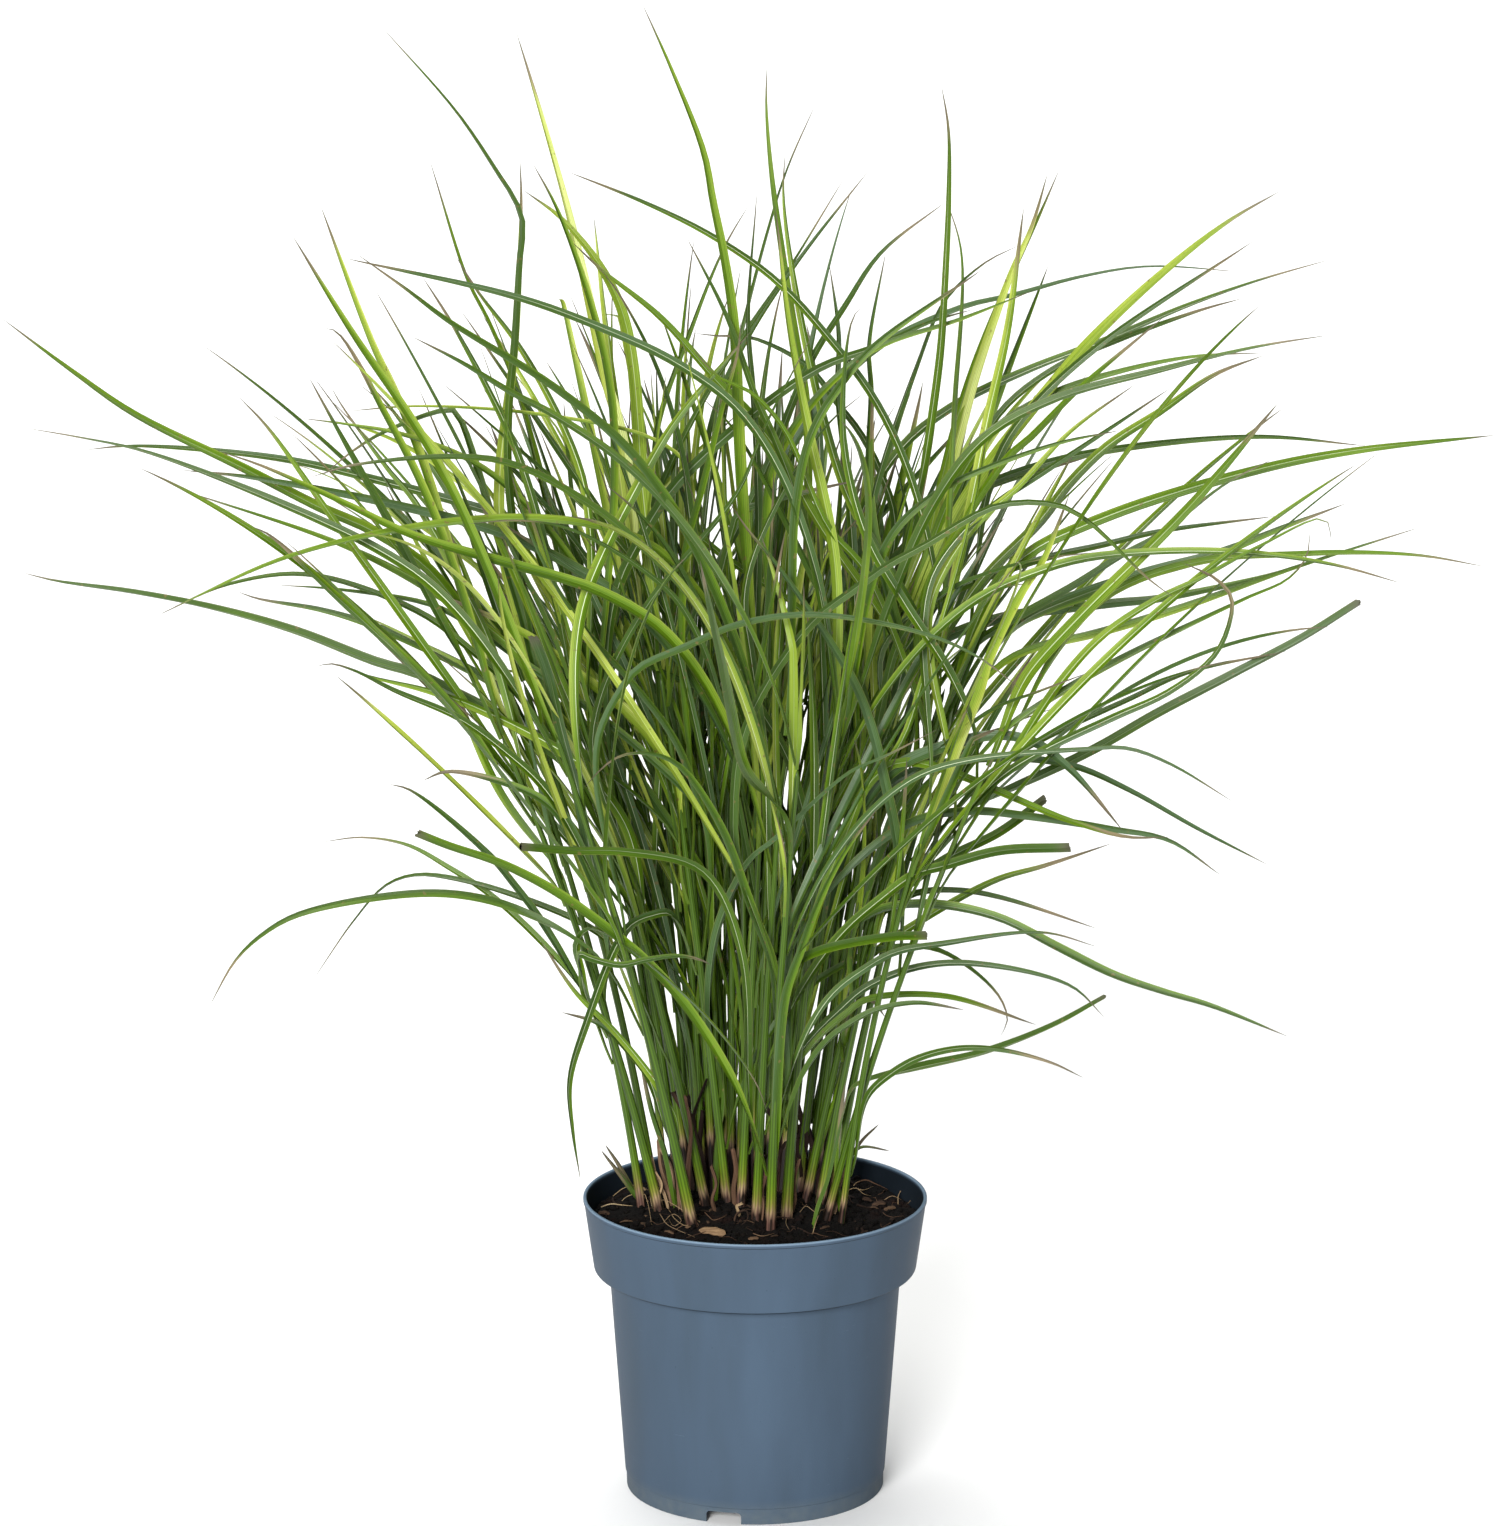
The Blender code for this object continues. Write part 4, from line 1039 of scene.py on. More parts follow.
@dataclass(frozen=True)
class DeadFibre:
    """Dead plant stuff with a grain along it, matt and fibrous.

    The streaks tell torn fibre from living stem at a glance.

    Args:
        name: The material's name.
        tones: Its colours from dark to pale.
        wide: How many streaks there are across it.
        long: How many streaks there are to a metre along it.
    """

    name: str = "Plant fibre, dried"
    tones: tuple = ((0.0, "#241812"), (0.3, "#5f4634"), (0.5, "#7c6650"), (0.7, "#a08763"),
                    (0.86, "#c1ae8c"), (1.0, "#b08075"))
    wide: float = 7.0
    long: float = 90.0

    def build(self) -> bpy.types.Material:
        """Makes the material of what is dead and fibrous.

        Returns:
            The material.
        """
        f = Finish(self.name)
        across, along, _, _, tone, seed = f.plant_maps()
        lay = f.add("CombineXYZ", [f.add("Math:MULTIPLY", pair) for pair in (
            (across, self.wide), (along, self.long), (seed, 47.0))])
        streak = f.add("TexNoise", {"Vector": lay, "Scale": 1.0, "Detail": 4.0})
        shade = f.add("Math:MULTIPLY_ADD", (streak, 0.6, tone))
        colour = f.add("ValToRGB", (f.add("Math:SUBTRACT", (shade, 0.32)),), stops=self.tones)
        bumps = f.add("Bump", {"Height": streak, "Strength": 0.6, "Distance": 0.0003})
        return f.done(f.add("BsdfPrincipled", {"Base Color": colour, "Roughness": 0.84,
                                               "Specular IOR Level": 0.2, "Normal": bumps}))


WOOD_TONES = ((0.0, "#1e1410"), (0.25, "#463427"), (0.45, "#6f573f"), (0.7, "#9a805f"), (1.0, "#b9a27f"))


@dataclass(frozen=True)
class PottingCompost:
    """Damp peat compost: near black with brown fibres and reddish patches, matt and crumbly."""

    name: str = "Potting compost, damp peat"
    tones: tuple = ((0.0, "#030202"), (0.42, "#070504"), (0.60, "#0d0907"), (0.78, "#1a120c"),
                    (1.0, "#302319"))
    red: str = "#1c0d08"
    # Patterns to a metre: lumps of 11 mm, grains of 2 mm and patches of 17 mm
    lumps: float = 95.0
    grain: float = 520.0
    patches: float = 60.0

    def build(self) -> bpy.types.Material:
        """Makes the material of the soil or of its crumbs.

        Returns:
            The material.
        """
        f = Finish(self.name)
        at = f.add("TexCoord", give="Object")
        coarse = f.add("TexNoise", {"Vector": at, "Scale": self.lumps, "Detail": 5.0})
        fine = f.add("TexNoise", {"Vector": at, "Scale": self.grain, "Detail": 4.0, "Roughness": 0.65})
        both = f.add("Math:MULTIPLY_ADD", (fine, 0.75, coarse))
        colour = f.add("ValToRGB", (f.add("Math:SUBTRACT", (both, 0.40)),), stops=self.tones)
        rusty = f.add("TexNoise", {"Vector": at, "Scale": self.patches, "Detail": 2.0})
        rusty = f.add("MapRange", (rusty, 0.54, 0.68, 0.0, 0.6))
        colour = f.add("Mix", {SHARE: rusty, FIRST: colour, SECOND: self.red}, MIXED, data_type="RGBA")
        cells = f.add("TexVoronoi", {"Vector": at, "Scale": self.grain * 0.8})
        height = f.add("Math:MULTIPLY_ADD", (cells, 0.6, fine))
        bumps = f.add("Bump", {"Height": height, "Strength": 0.9, "Distance": 0.0011})
        return f.done(f.add("BsdfPrincipled", {"Base Color": colour, "Roughness": 0.93,
                                               "Specular IOR Level": 0.15, "Normal": bumps}))


@dataclass(frozen=True)
class MouldedPolypropylene:
    """Injection-moulded polypropylene, matt from a fine mould grain, a little scuffed and dusty.

    The soft upright mottling is flow in the mould, the pale scratches are wear, and the foot ring
    is dulled by dirt.
    """

    body: tuple = ((0.25, "#3b4855"), (0.50, "#3e4c5b"), (0.75, "#415060"))
    scuff: str = "#5e6e7e"
    speck: str = "#2c3743"
    dirt: str = "#525b60"
    # Colour of the painted highlight along the top of the lip
    lip: str = "#8197ab"
    # Colour of the inside: compost stain and painted shade
    stain_and_shade: str = "#13181d"
    # Patterns to a metre: flow marks of 24 mm, scratches of 18 mm, specks of 1.6 mm, dust of 6 mm
    # and a mould grain of 0.6 mm, coarser than real so that it breaks the shine
    flow_marks: float = 42.0
    scratches: float = 55.0
    specks: float = 620.0
    dust: float = 180.0
    mould_grain: float = 1700.0

    def build(self) -> bpy.types.Material:
        """Makes the material of the pot.

        Returns:
            The material.
        """
        f = Finish("Polypropylene, injection moulded, matt")
        at = f.add("TexCoord", give="Object")
        height = f.add("SeparateXYZ", (at,), 2)
        top = NurseryPot.height
        lay = f.add("VectorMath:MULTIPLY", (at, (1, 1, 0.18)))
        flow = f.add("TexNoise", {"Vector": lay, "Scale": self.flow_marks, "Detail": 3.0})
        colour = f.add("ValToRGB", (flow,), stops=self.body)

        # Scratches run level, as from pots that rub past each other
        lay = f.add("VectorMath:MULTIPLY", (at, (1, 1, 9)))
        marks = f.add("TexNoise", {"Vector": lay, "Scale": self.scratches, "Detail": 6.0, "Roughness": 0.7})
        marks = f.add("MapRange", (marks, 0.66, 0.74, 0.0, 0.45))
        specks = f.add("TexNoise", {"Vector": at, "Scale": self.specks, "Detail": 2.0})
        specks = f.add("MapRange", (specks, 0.74, 0.78, 0.0, 0.6))
        dusty = f.add("TexNoise", {"Vector": at, "Scale": self.dust, "Detail": 5.0})
        low = f.add("Math:MULTIPLY", (f.add("MapRange", (height, 0.005, 0.014, 1.1, 0.0)), dusty))
        # The top of the lip is painted paler: a painted highlight, not wear
        lip_highlight = f.add("MapRange", (height, top - 0.0012, top - 0.0003, 0.0, 0.6))
        # The inside below the lip is painted near black: partly compost stain, partly painted shade inside
        # the pot
        inward = f.add("VectorMath:DOT_PRODUCT", (at, f.add("NewGeometry", give="Normal")), "Value")
        inward = f.add("MapRange", (inward, -0.02, 0.0, 0.94, 0.0))
        under = f.add("MapRange", (height, top - 0.0022, top - 0.0008, 1.0, 0.0))
        stained_and_shaded = f.add("Math:MULTIPLY", (inward, under))
        for share, second in ((marks, self.scuff), (specks, self.speck), (low, self.dirt),
                              (lip_highlight, self.lip), (stained_and_shaded, self.stain_and_shade)):
            colour = f.add("Mix", {SHARE: share, FIRST: colour, SECOND: second}, MIXED, data_type="RGBA")
        grain = f.add("TexNoise", {"Vector": at, "Scale": self.mould_grain, "Detail": 1.0})
        relief = f.add("Math:MULTIPLY_ADD", (flow, 1.5, grain))
        bumps = f.add("Bump", {"Height": relief, "Strength": 0.22, "Distance": 0.0002})
        rough = f.add("MapRange", (flow, 0.3, 0.7, 0.46, 0.58))
        return f.done(f.add("BsdfPrincipled", {"Base Color": colour, "Roughness": rough,
                                               "Specular IOR Level": 0.05, "Normal": bumps}))


@dataclass(frozen=True)
class StudioPaint:
    """Matt pale floor paint, with a tone that barely varies."""

    tones: tuple = ((0.0, "#f1f1f0"), (1.0, "#f5f5f4"))

    def build(self) -> bpy.types.Material:
        """Makes the material of the floor.

        Returns:
            The material.
        """
        f = Finish("Floor paint, rolled matt")
        at = f.add("TexCoord", give="Object")
        mottle = f.add("TexNoise", {"Vector": at, "Scale": 0.4, "Detail": 1.0})
        colour = f.add("ValToRGB", (mottle,), stops=self.tones)
        return f.done(f.add("BsdfPrincipled", {"Base Color": colour, "Roughness": 0.9,
                                               "Specular IOR Level": 0.1}))


@dataclass(frozen=True)
class Habit:
    """The way a grown blade grows, each the least and the most of a range.

    Args:
        length: Its length.
        leaving: The angle in degrees at which it leaves its stem.
        sag: The angle in degrees by which it sags up to its tip.
        width: Its greatest width.
        loose: How far it may reach, as a share of the clump's outline.
    """

    length: tuple
    leaving: tuple
    sag: tuple
    width: tuple
    loose: tuple


TOP_BLADE = Habit((0.20, 0.38), (4, 20), (2, 30), (0.0036, 0.0060), (0.74, 1.10))
SIDE_BLADE = Habit((0.24, 0.46), (8, 40), (0, 36), (0.0023, 0.0049), (0.72, 1.06))
ARCHING_BLADE = Habit((0.34, 0.50), (18, 38), (20, 62), (0.0032, 0.0056), (1.3, 1.8))


@dataclass
class GrassClump:
    """The shoots, their blades and the pieces that stand for the modelled stems and leaves.

    The shoots and blades that the front view shows are traced. Those inside and behind are grown
    by a rule, so that the clump is as full from every side.

    Args:
        living: The finish of the blades.
        sheath: The finish of the stems.
    """

    living: bpy.types.Material
    sheath: bpy.types.Material
    seed: int = 41
    # The six modelled stems behind: the arc they stand on, its reach in the crown and their sway
    back_arc: tuple = (math.radians(15), math.radians(165), 6)
    back_ring: float = 0.9
    back_sway: float = 0.17
    # The way a blade leaves its stem, and the depth from which a collar faces to the front or back
    clasp_clear: float = 0.0008
    departure: float = math.radians(14)
    facing_depth: float = 0.3
    traced_places: int = 48
    grown_steps: int = 37
    growing_tries: int = 16
    # The share of traced blades that may show their underside, and of grown ones with a kink
    turned_over: float = 0.28
    kinked: float = 0.12
    # How far, as an angle, a grown blade may swing sideways on its way
    drift: float = 0.4
    # The inner shoots: the least gap between two, how widely they stand, and how they lean outwards
    shoot_count: int = 40
    shoot_spacing: float = 0.0050
    shoot_tries: int = 260
    shoot_ring: float = 0.97
    shoot_lean: float = 2.6
    # The inner shoots stand behind this level of the front view
    front_px: float = 1193.0
    # The clump's outline: its half width at the soil, its slope, and how it spreads above a height
    waist: float = 0.043
    slope: float = 0.39
    spread: float = 0.62
    spread_from: float = 0.19
    # How far a blade reaches from the crown's middle and from the pot's axis, and the share to the right
    reach: float = 0.54
    farthest: float = 0.335
    right_share: float = 0.84
    # The blades that arch out all round, each from one of the stems nearest to its way
    arch_count: int = 80
    arch_stems: int = 9
    tones: tuple = ((Tone.BLUISH, 10), (Tone.DARK, 42), (Tone.MID, 22), (Tone.LIGHT, 26))

    def __post_init__(self) -> None:
        """Plants the shoots."""
        self.rng = random.Random(self.seed)
        self.stems = []
        for words, points in read_rows(FRONT_STEMS):
            lean, height, radius = map(float, words)
            foot = VIEW.place(points[0], Axis.LEVEL, CROWN_Z)
            self.stems.append(Stem(foot, lean, height * MM, radius * MM))
        for azimuth in np.linspace(*self.back_arc):
            out = self.back_ring * toward(azimuth)
            self.stems.append(Stem(CROWN_CENTRE + out * CROWN_HALF, self.back_sway * out[0], 0.290, 0.0025))
        self.shoots = []
        for number in range(self.shoot_tries):
            away = self.shoot_ring * math.sqrt((number + 0.5) / self.shoot_tries)
            foot = CROWN_CENTRE + away * toward(number * GOLDEN_ANGLE) * CROWN_HALF
            in_front = VIEW.seen(np.array([*foot, CROWN_Z]))[1] > self.front_px
            near = min(np.linalg.norm(foot - other.foot[:2]) for other in self.stems + self.shoots)
            if in_front or near < self.shoot_spacing or len(self.shoots) == self.shoot_count:
                continue
            lean = self.shoot_lean * (foot[0] - CROWN_CENTRE[0]) + self.rng.uniform(-0.05, 0.05)
            self.shoots.append(Stem(foot, lean, self.rng.uniform(0.20, 0.31),
                                    self.rng.uniform(0.0018, 0.0026)))

    def build(self) -> None:
        """Adds every piece of the clump to the scene."""
        for row in read_rows(LEAVES):
            skin = Skin()
            self._add_traced(skin, *row)
            name = row[0][0]
            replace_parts(skin.piece(name + "_blade", self.living, "leaf"), name)
        tables = {"crown": CROWN_BLADES, "left": LEFT_BLADES, "right": RIGHT_BLADES, "front": FRONT_BLADES}
        for name, table in tables.items():
            skin = Skin()
            for row in read_rows(table):
                self._add_traced(skin, *row)
            skin.piece("blades_" + name, self.living, "leaf")
        self._add_grown()
        self._add_stems()

    def _add_traced(self, skin: Skin, words: list, px: list) -> None:
        """Gathers one blade of a table.

        Args:
            skin: What gathers it.
            words: Its name if it has one, its stem, collar, width, look and depth.
            px: The points it passes in the front view.
        """
        stem, collar, width, look, depth = words[-5:]
        tone, end = read_look(look)
        depth = None if depth == "-" else float(depth) * MM
        middle, out = self._traced_midline(self.stems[int(stem) - 1], float(collar) * MM, px, depth)
        turn = self._facing(middle, out)
        if self.rng.random() > 1 - self.turned_over and abs(turn) > math.pi / 4:
            turn -= math.copysign(math.pi, turn)
        turn *= self.rng.uniform(0.62, 0.98)
        twist = math.radians(self.rng.uniform(-50, 50))
        seed = self.rng.random()
        shown = tone.value + self.rng.uniform(-0.05, 0.05)
        add_blade(skin, middle, out, BladeForm(float(width) * MM, turn, twist, (shown, seed), end,
                                               self.rng.uniform(*end.value)))

    def _traced_midline(self, stem: Stem, up: float, px: list, depth: float | None) -> tuple:
        """The midline of a traced blade.

        Args:
            stem: The stem that carries it.
            up: The height of its collar.
            px: The points it passes.
            depth: How far its tip lies behind the pot's axis; without one it keeps near its stem.

        Returns:
            The places from the collar to the tip, and the direction in which the collar faces.
        """
        on_stem, growing = stem.axis(up), stem.heading(up)
        aside = VIEW.place(px[0], Axis.DEPTH, on_stem[1]) - on_stem
        if depth is None:
            reach = np.linalg.norm(np.subtract(px[-1], px[0])) * abs(VIEW.eye[1]) / VIEW.focal
            depth = on_stem[1] + reach * self.rng.uniform(-0.25, 0.30)
        elif abs(depth) > self.facing_depth:
            aside = np.array([0.0, math.copysign(1.0, depth), 0.0])
        out = unit(aside - (aside @ growing) * growing)
        collar = on_stem + (stem.thickness(up) + self.clasp_clear) * out

        seen = [VIEW.seen(collar), *map(np.array, px)]
        run = np.cumsum([np.linalg.norm(b - a) for a, b in zip(seen, seen[1:])])
        places = [VIEW.place(point, Axis.DEPTH, far)
                  for point, far in zip(px, collar[1] + (depth - collar[1]) * run / run[-1])]
        # A cubic leads from the way the stem grows into the way the traced part runs
        span = np.linalg.norm(places[0] - collar)
        leaving = span * (math.cos(self.departure) * growing + math.sin(self.departure) * out)
        arriving = span * unit(places[1] - places[0])
        t = np.array([0.15, 0.35, 0.6, 0.8])[:, None]
        bridge = ((2 * t ** 3 - 3 * t ** 2 + 1) * collar + (t ** 3 - 2 * t ** 2 + t) * leaving
                  + (3 * t ** 2 - 2 * t ** 3) * places[0] + (t ** 3 - t ** 2) * arriving)
        return smooth_curve([collar, *bridge, *places], self.traced_places), out

    @staticmethod
    def _facing(middle: np.ndarray, out: np.ndarray) -> float:
        """How far a blade must turn to show its upper side full to the front.

        Args:
            middle: The places of its midline.
            out: The direction in which its collar faces.

        Returns:
            The angle.
        """
        alongs, acrosses = carried_frames(middle, np.cross(middle[1] - middle[0], out))
        half = len(middle) // 2
        wanted = np.cross(VIEW.eye - middle[half], alongs[half])
        return math.atan2(wanted @ np.cross(alongs[half], acrosses[half]), wanted @ acrosses[half])

    def _inside_outline(self, middle: np.ndarray, loose: float) -> bool:
        """Whether a blade stays in the clump's outline and off the soil.

        Args:
            middle: The places of its midline.
            loose: How far it may reach, as a share of the outline.

        Returns:
            Whether it does.
        """
        up = middle[:, 2] - CROWN_Z
        spread = self.spread * np.clip(up - self.spread_from, 0, None)
        loose = loose * np.where(middle[:, 0] > CROWN_CENTRE[0], self.right_share, 1.0)
        aside = np.linalg.norm(middle[:, :2] - CROWN_CENTRE, axis=1)
        reach = np.linalg.norm(middle - [*CROWN_CENTRE, CROWN_Z], axis=1)
        return bool(np.abs(middle[:, :2]).max() < self.farthest
                    and (aside < (self.waist + self.slope * up + spread) * loose).all()
                    and up.min() > 0 and (reach < self.reach * loose).all())

    def _add_grown(self) -> None:
        """Grows the blades of the inner shoots, more on modelled stems, and arches all round."""
        skins = {name: Skin() for name in ("blades_inner_left", "blades_inner_right", "blades_tops")}
        every = self.stems + self.shoots
        for number, stem in enumerate(every):
            outwards = math.atan2(stem.out[1], stem.out[0])
            inner = number >= len(self.stems)
            if inner or number % 2:
                self._grow(skins["blades_tops"], stem, stem.height - 0.001,
                           outwards + self.rng.gauss(0.0, 1.0), TOP_BLADE)
            side = "blades_inner_left" if stem.foot[0] < CROWN_CENTRE[0] else "blades_inner_right"
            for k in range(5 if inner else 2):
                low = 0.05 + 0.04 * k if inner else self.rng.uniform(0.12, 0.26)
                up = min(low + self.rng.uniform(-0.015, 0.015), stem.height - 0.02)
                across = k % 2 * self.rng.uniform(1.4, 2.6) * self.rng.choice((-1, 1))
                self._grow(skins[side], stem, up, outwards + self.rng.gauss(0.0, 1.0) + across, SIDE_BLADE)
        for number in range(self.arch_count):
            azimuth = number * GOLDEN_ANGLE
            way = toward(azimuth)
            # They are few to the front and to both sides, where the traced blades arch
            if (way[1] < -0.75 and number % 3) or (abs(way[0]) > 0.66 and number % 5):
                continue
            stem = self.rng.choice(sorted(every, key=lambda one: -(one.out @ way))[:self.arch_stems])
            up = self.rng.uniform(0.13, min(0.27, stem.height - 0.02))
            self._grow(skins["blades_tops"], stem, up, azimuth, ARCHING_BLADE)
        for name, skin in skins.items():
            skin.piece(name, self.living, "leaf")

    def _grow(self, skin: Skin, stem: Stem, up: float, azimuth: float, habit: Habit) -> None:
        """Grows one blade that leaves its stem, sags under its own weight and may be kinked.

        Args:
            skin: What gathers it.
            stem: The stem.
            up: The height of the collar.
            azimuth: The way it leaves.
            habit: The way it grows.
        """
        pick = self.rng.uniform
        length, width, loose = (pick(*given) for given in (habit.length, habit.width, habit.loose))
        leaving, sag = (math.radians(pick(*given)) for given in (habit.leaving, habit.sag))
        drift = pick(-self.drift, self.drift)
        kink = pick(0.3, 1.0) * (self.rng.random() < self.kinked)
        kinked_at = pick(0.55, 0.85)
        growing = stem.heading(up)
        aside = np.array([*toward(azimuth), 0.0])
        out = unit(aside - (aside @ growing) * growing)
        collar = stem.axis(up) + (stem.thickness(up) + self.clasp_clear) * out
        share = (np.arange(self.grown_steps) + 0.5) / self.grown_steps
        # A blade that would leave the clump's outline is made shorter and straighter
        for _ in range(self.growing_tries):
            bent = (leaving * smooth_step(share * 8) + sag * share ** 1.7
                    + kink * smooth_step((share - kinked_at) / 0.05))[:, None]
            side = (drift * share ** 2)[:, None]
            heading = (np.cos(bent) * growing
                       + np.sin(bent) * (np.cos(side) * out + np.sin(side) * np.cross(growing, out)))
            middle = np.vstack([collar, collar + np.cumsum(heading * length / self.grown_steps, axis=0)])
            if self._inside_outline(middle, loose):
                break
            length *= 0.94
            sag *= 0.9
            leaving *= 0.92
        tones, weights = zip(*self.tones)
        tone = self.rng.choices(tones, weights)[0].value + pick(-0.06, 0.06)
        turn = self._facing(middle, out) * pick(0.2, 0.95)
        form = BladeForm(width, turn, math.radians(pick(-70, 70)), (tone, self.rng.random()),
                         dry=pick(*End.FINE.value))
        add_blade(skin, middle, out, form)

    def _add_stems(self) -> None:
        """Adds a piece for each modelled stem, and one for all the inner shoots."""
        for number, stem in enumerate(self.stems, start=1):
            skin = Skin()
            stem.add_to(skin, self.rng.uniform(0.1, 0.6), self.rng.random())
            name = f"stem_{number:02d}"
            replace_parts(skin.piece(name + "_sheaths", self.sheath, "stem"), name)
        skin = Skin()
        for stem in self.shoots:
            # The inner shoots take a low tone that keeps them near black and brown further up: partly their
            # dead bases, partly painted shade between the stems
            stem.add_to(skin, self.rng.uniform(-2.0, -0.6), self.rng.random())
        skin.piece("inner_shoots", self.sheath, "stem")


@dataclass
class NurseryPot:
    """The moulded pot: a broad collar with a thin rolled lip, a tapering body and a foot ring.

    Its sizes keep in step with the solids it stands for.

    Args:
        finish: What it is moulded in.
    """

    finish: bpy.types.Material
    height: float = 0.166
    rim_radius: float = 0.0950
    collar_bottom_radius: float = 0.0891
    collar_bottom_z: float = 0.1250
    body_top_radius: float = 0.0808
    body_bottom_radius: float = 0.0724
    foot_radius: float = 0.0716
    foot_height: float = 0.0090
    wall: float = 0.0015
    rim_wall: float = 0.0018
    floor_thickness: float = 0.0016
    floor_z: float = 0.0088
    foot_wall: float = 0.0024
    notch_count: int = 3
    notch_width: float = 0.0195
    notch_height: float = 0.0065
    notch_round: float = 0.0022
    notch_azimuth: float = math.radians(256)
    drain_hole_radius: float = 0.0055
    drain_hole_ring: float = 0.0480
    drain_hole_count: int = 6
    # The faces round the turned wall, and how close its corners are when they are made one
    sides: int = 192
    merge: float = 1e-6

    def _outline(self) -> tuple:
        """The corners of the pot's wall, down the outside and up the inside.

        Returns:
            The radius, height and rounding of each.
        """
        return (
            (0.0, self.floor_z, 0.0),
            (self.foot_radius - self.foot_wall, self.floor_z, 0.0006),
            (self.foot_radius - self.foot_wall, 0.0, 0.0005),
            (self.foot_radius, 0.0, 0.0005),
            (self.foot_radius + 0.0002, self.foot_height, 0.0003),
            (self.body_bottom_radius, self.foot_height, 0.0005),
            (self.body_top_radius, self.collar_bottom_z, 0.0014),
            (self.collar_bottom_radius, self.collar_bottom_z, 0.0020),
            (self.rim_radius - 0.0005, self.height - 0.0026, 0.0002),
            (self.rim_radius, self.height - 0.0022, 0.0003),
            (self.rim_radius, self.height, 0.0008),
            (self.rim_radius - self.rim_wall, self.height, 0.0007),
            (self.collar_bottom_radius - self.wall, self.collar_bottom_z + self.wall, 0.0014),
            (self.body_top_radius - self.wall, self.collar_bottom_z + self.wall, 0.0014),
            (self.body_bottom_radius - self.wall, self.floor_z + self.floor_thickness, 0.0008),
            (0.0, self.floor_z + self.floor_thickness, 0.0),
        )

    def _rounded_outline(self) -> list:
        """Rounds the corners of the outline.

        Returns:
            The radius and height of its places, from the axis round to the axis.
        """
        outline = self._outline()
        places = [np.array(corner[:2]) for corner in outline]
        rounded = [places[0]]
        for last, at, following, corner in zip(places, places[1:], places[2:], outline[1:]):
            before = at + corner[2] * unit(last - at)
            after = at + corner[2] * unit(following - at)
            rounded += [(1 - t) ** 2 * before + 2 * t * (1 - t) * at + t ** 2 * after
                        for t in (0.0, 0.25, 0.5, 0.75, 1.0)]
        return [*rounded, places[-1]]

    def build(self) -> None:
        """Turns the pot, cuts its notches and drainage holes and adds it to the scene."""
        work = bmesh.new()
        corners = [work.verts.new((radius, 0.0, height)) for radius, height in self._rounded_outline()]
        edges = [work.edges.new(pair) for pair in zip(corners, corners[1:])]
        bmesh.ops.spin(work, geom=corners + edges, cent=(0, 0, 0), axis=(0, 0, 1),
                       angle=2 * math.pi, steps=self.sides, use_merge=True)
        bmesh.ops.remove_doubles(work, verts=work.verts, dist=self.merge)
        blank = self._object("pot_blank", work)
        cutters = self._cutters()
        for cutter in cutters:
            cut = blank.modifiers.new(cutter.name, "BOOLEAN")
            cut.operation, cut.solver, cut.object = "DIFFERENCE", "EXACT", cutter
        bpy.context.view_layer.update()
        finished = blank.evaluated_get(bpy.context.evaluated_depsgraph_get())
        mesh = bpy.data.meshes.new_from_object(finished)
        for spent in (blank, *cutters):
            bpy.data.objects.remove(spent, do_unlink=True)
        mesh.materials.clear()
        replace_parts(add_piece("nursery_pot", mesh, self.finish, 38), "pot")

    @staticmethod
    def _object(name: str, work: bmesh.types.BMesh) -> bpy.types.Object:
        """Turns the faces of a bmesh outwards and shows it.

        Args:
            name: The object's name.
            work: The bmesh, which is freed.

        Returns:
            The object.
        """
        bmesh.ops.recalc_face_normals(work, faces=work.faces)
        mesh = bpy.data.meshes.new(name)
        work.to_mesh(mesh)
        work.free()
        return put(name, mesh)

    def _cutters(self) -> list:
        """Makes what cuts the drain notches through the foot ring and the holes through the floor.

        Returns:
            The blocks and the pins.
        """
        made = []
        for k in range(self.notch_count):
            azimuth = self.notch_azimuth + k * 2 * math.pi / self.notch_count
            work = bmesh.new()
            bmesh.ops.create_cube(work, size=1.0)
            bmesh.ops.scale(work, verts=work.verts,
                            vec=(3 * self.foot_wall, self.notch_width, 2 * self.notch_height))
            upper = [edge for edge in work.edges if all(corner.co.z > 0 for corner in edge.verts)
                     and abs(edge.verts[0].co.x - edge.verts[1].co.x) > self.foot_wall]
            bmesh.ops.bevel(work, geom=upper, offset=self.notch_round, segments=8, affect="EDGES",
                            profile=0.5)
            made.append(self._object(f"notch_{k + 1}", work))
            made[-1].location = (*((self.foot_radius - self.foot_wall / 2) * toward(azimuth)), 0.0)
            made[-1].rotation_euler = (0.0, 0.0, azimuth)
        ring = [self.drain_hole_ring * toward(turn) for turn in turns_round(self.drain_hole_count)]
        for k, place in enumerate([*ring, (0.0, 0.0)], start=1):
            work = bmesh.new()
            bmesh.ops.create_cone(work, cap_ends=True, segments=40, depth=4 * self.floor_thickness,
                                  radius1=self.drain_hole_radius, radius2=self.drain_hole_radius)
            made.append(self._object(f"drain_{k}", work))
            made[-1].location = (*place, self.floor_z + self.floor_thickness / 2)
        return made


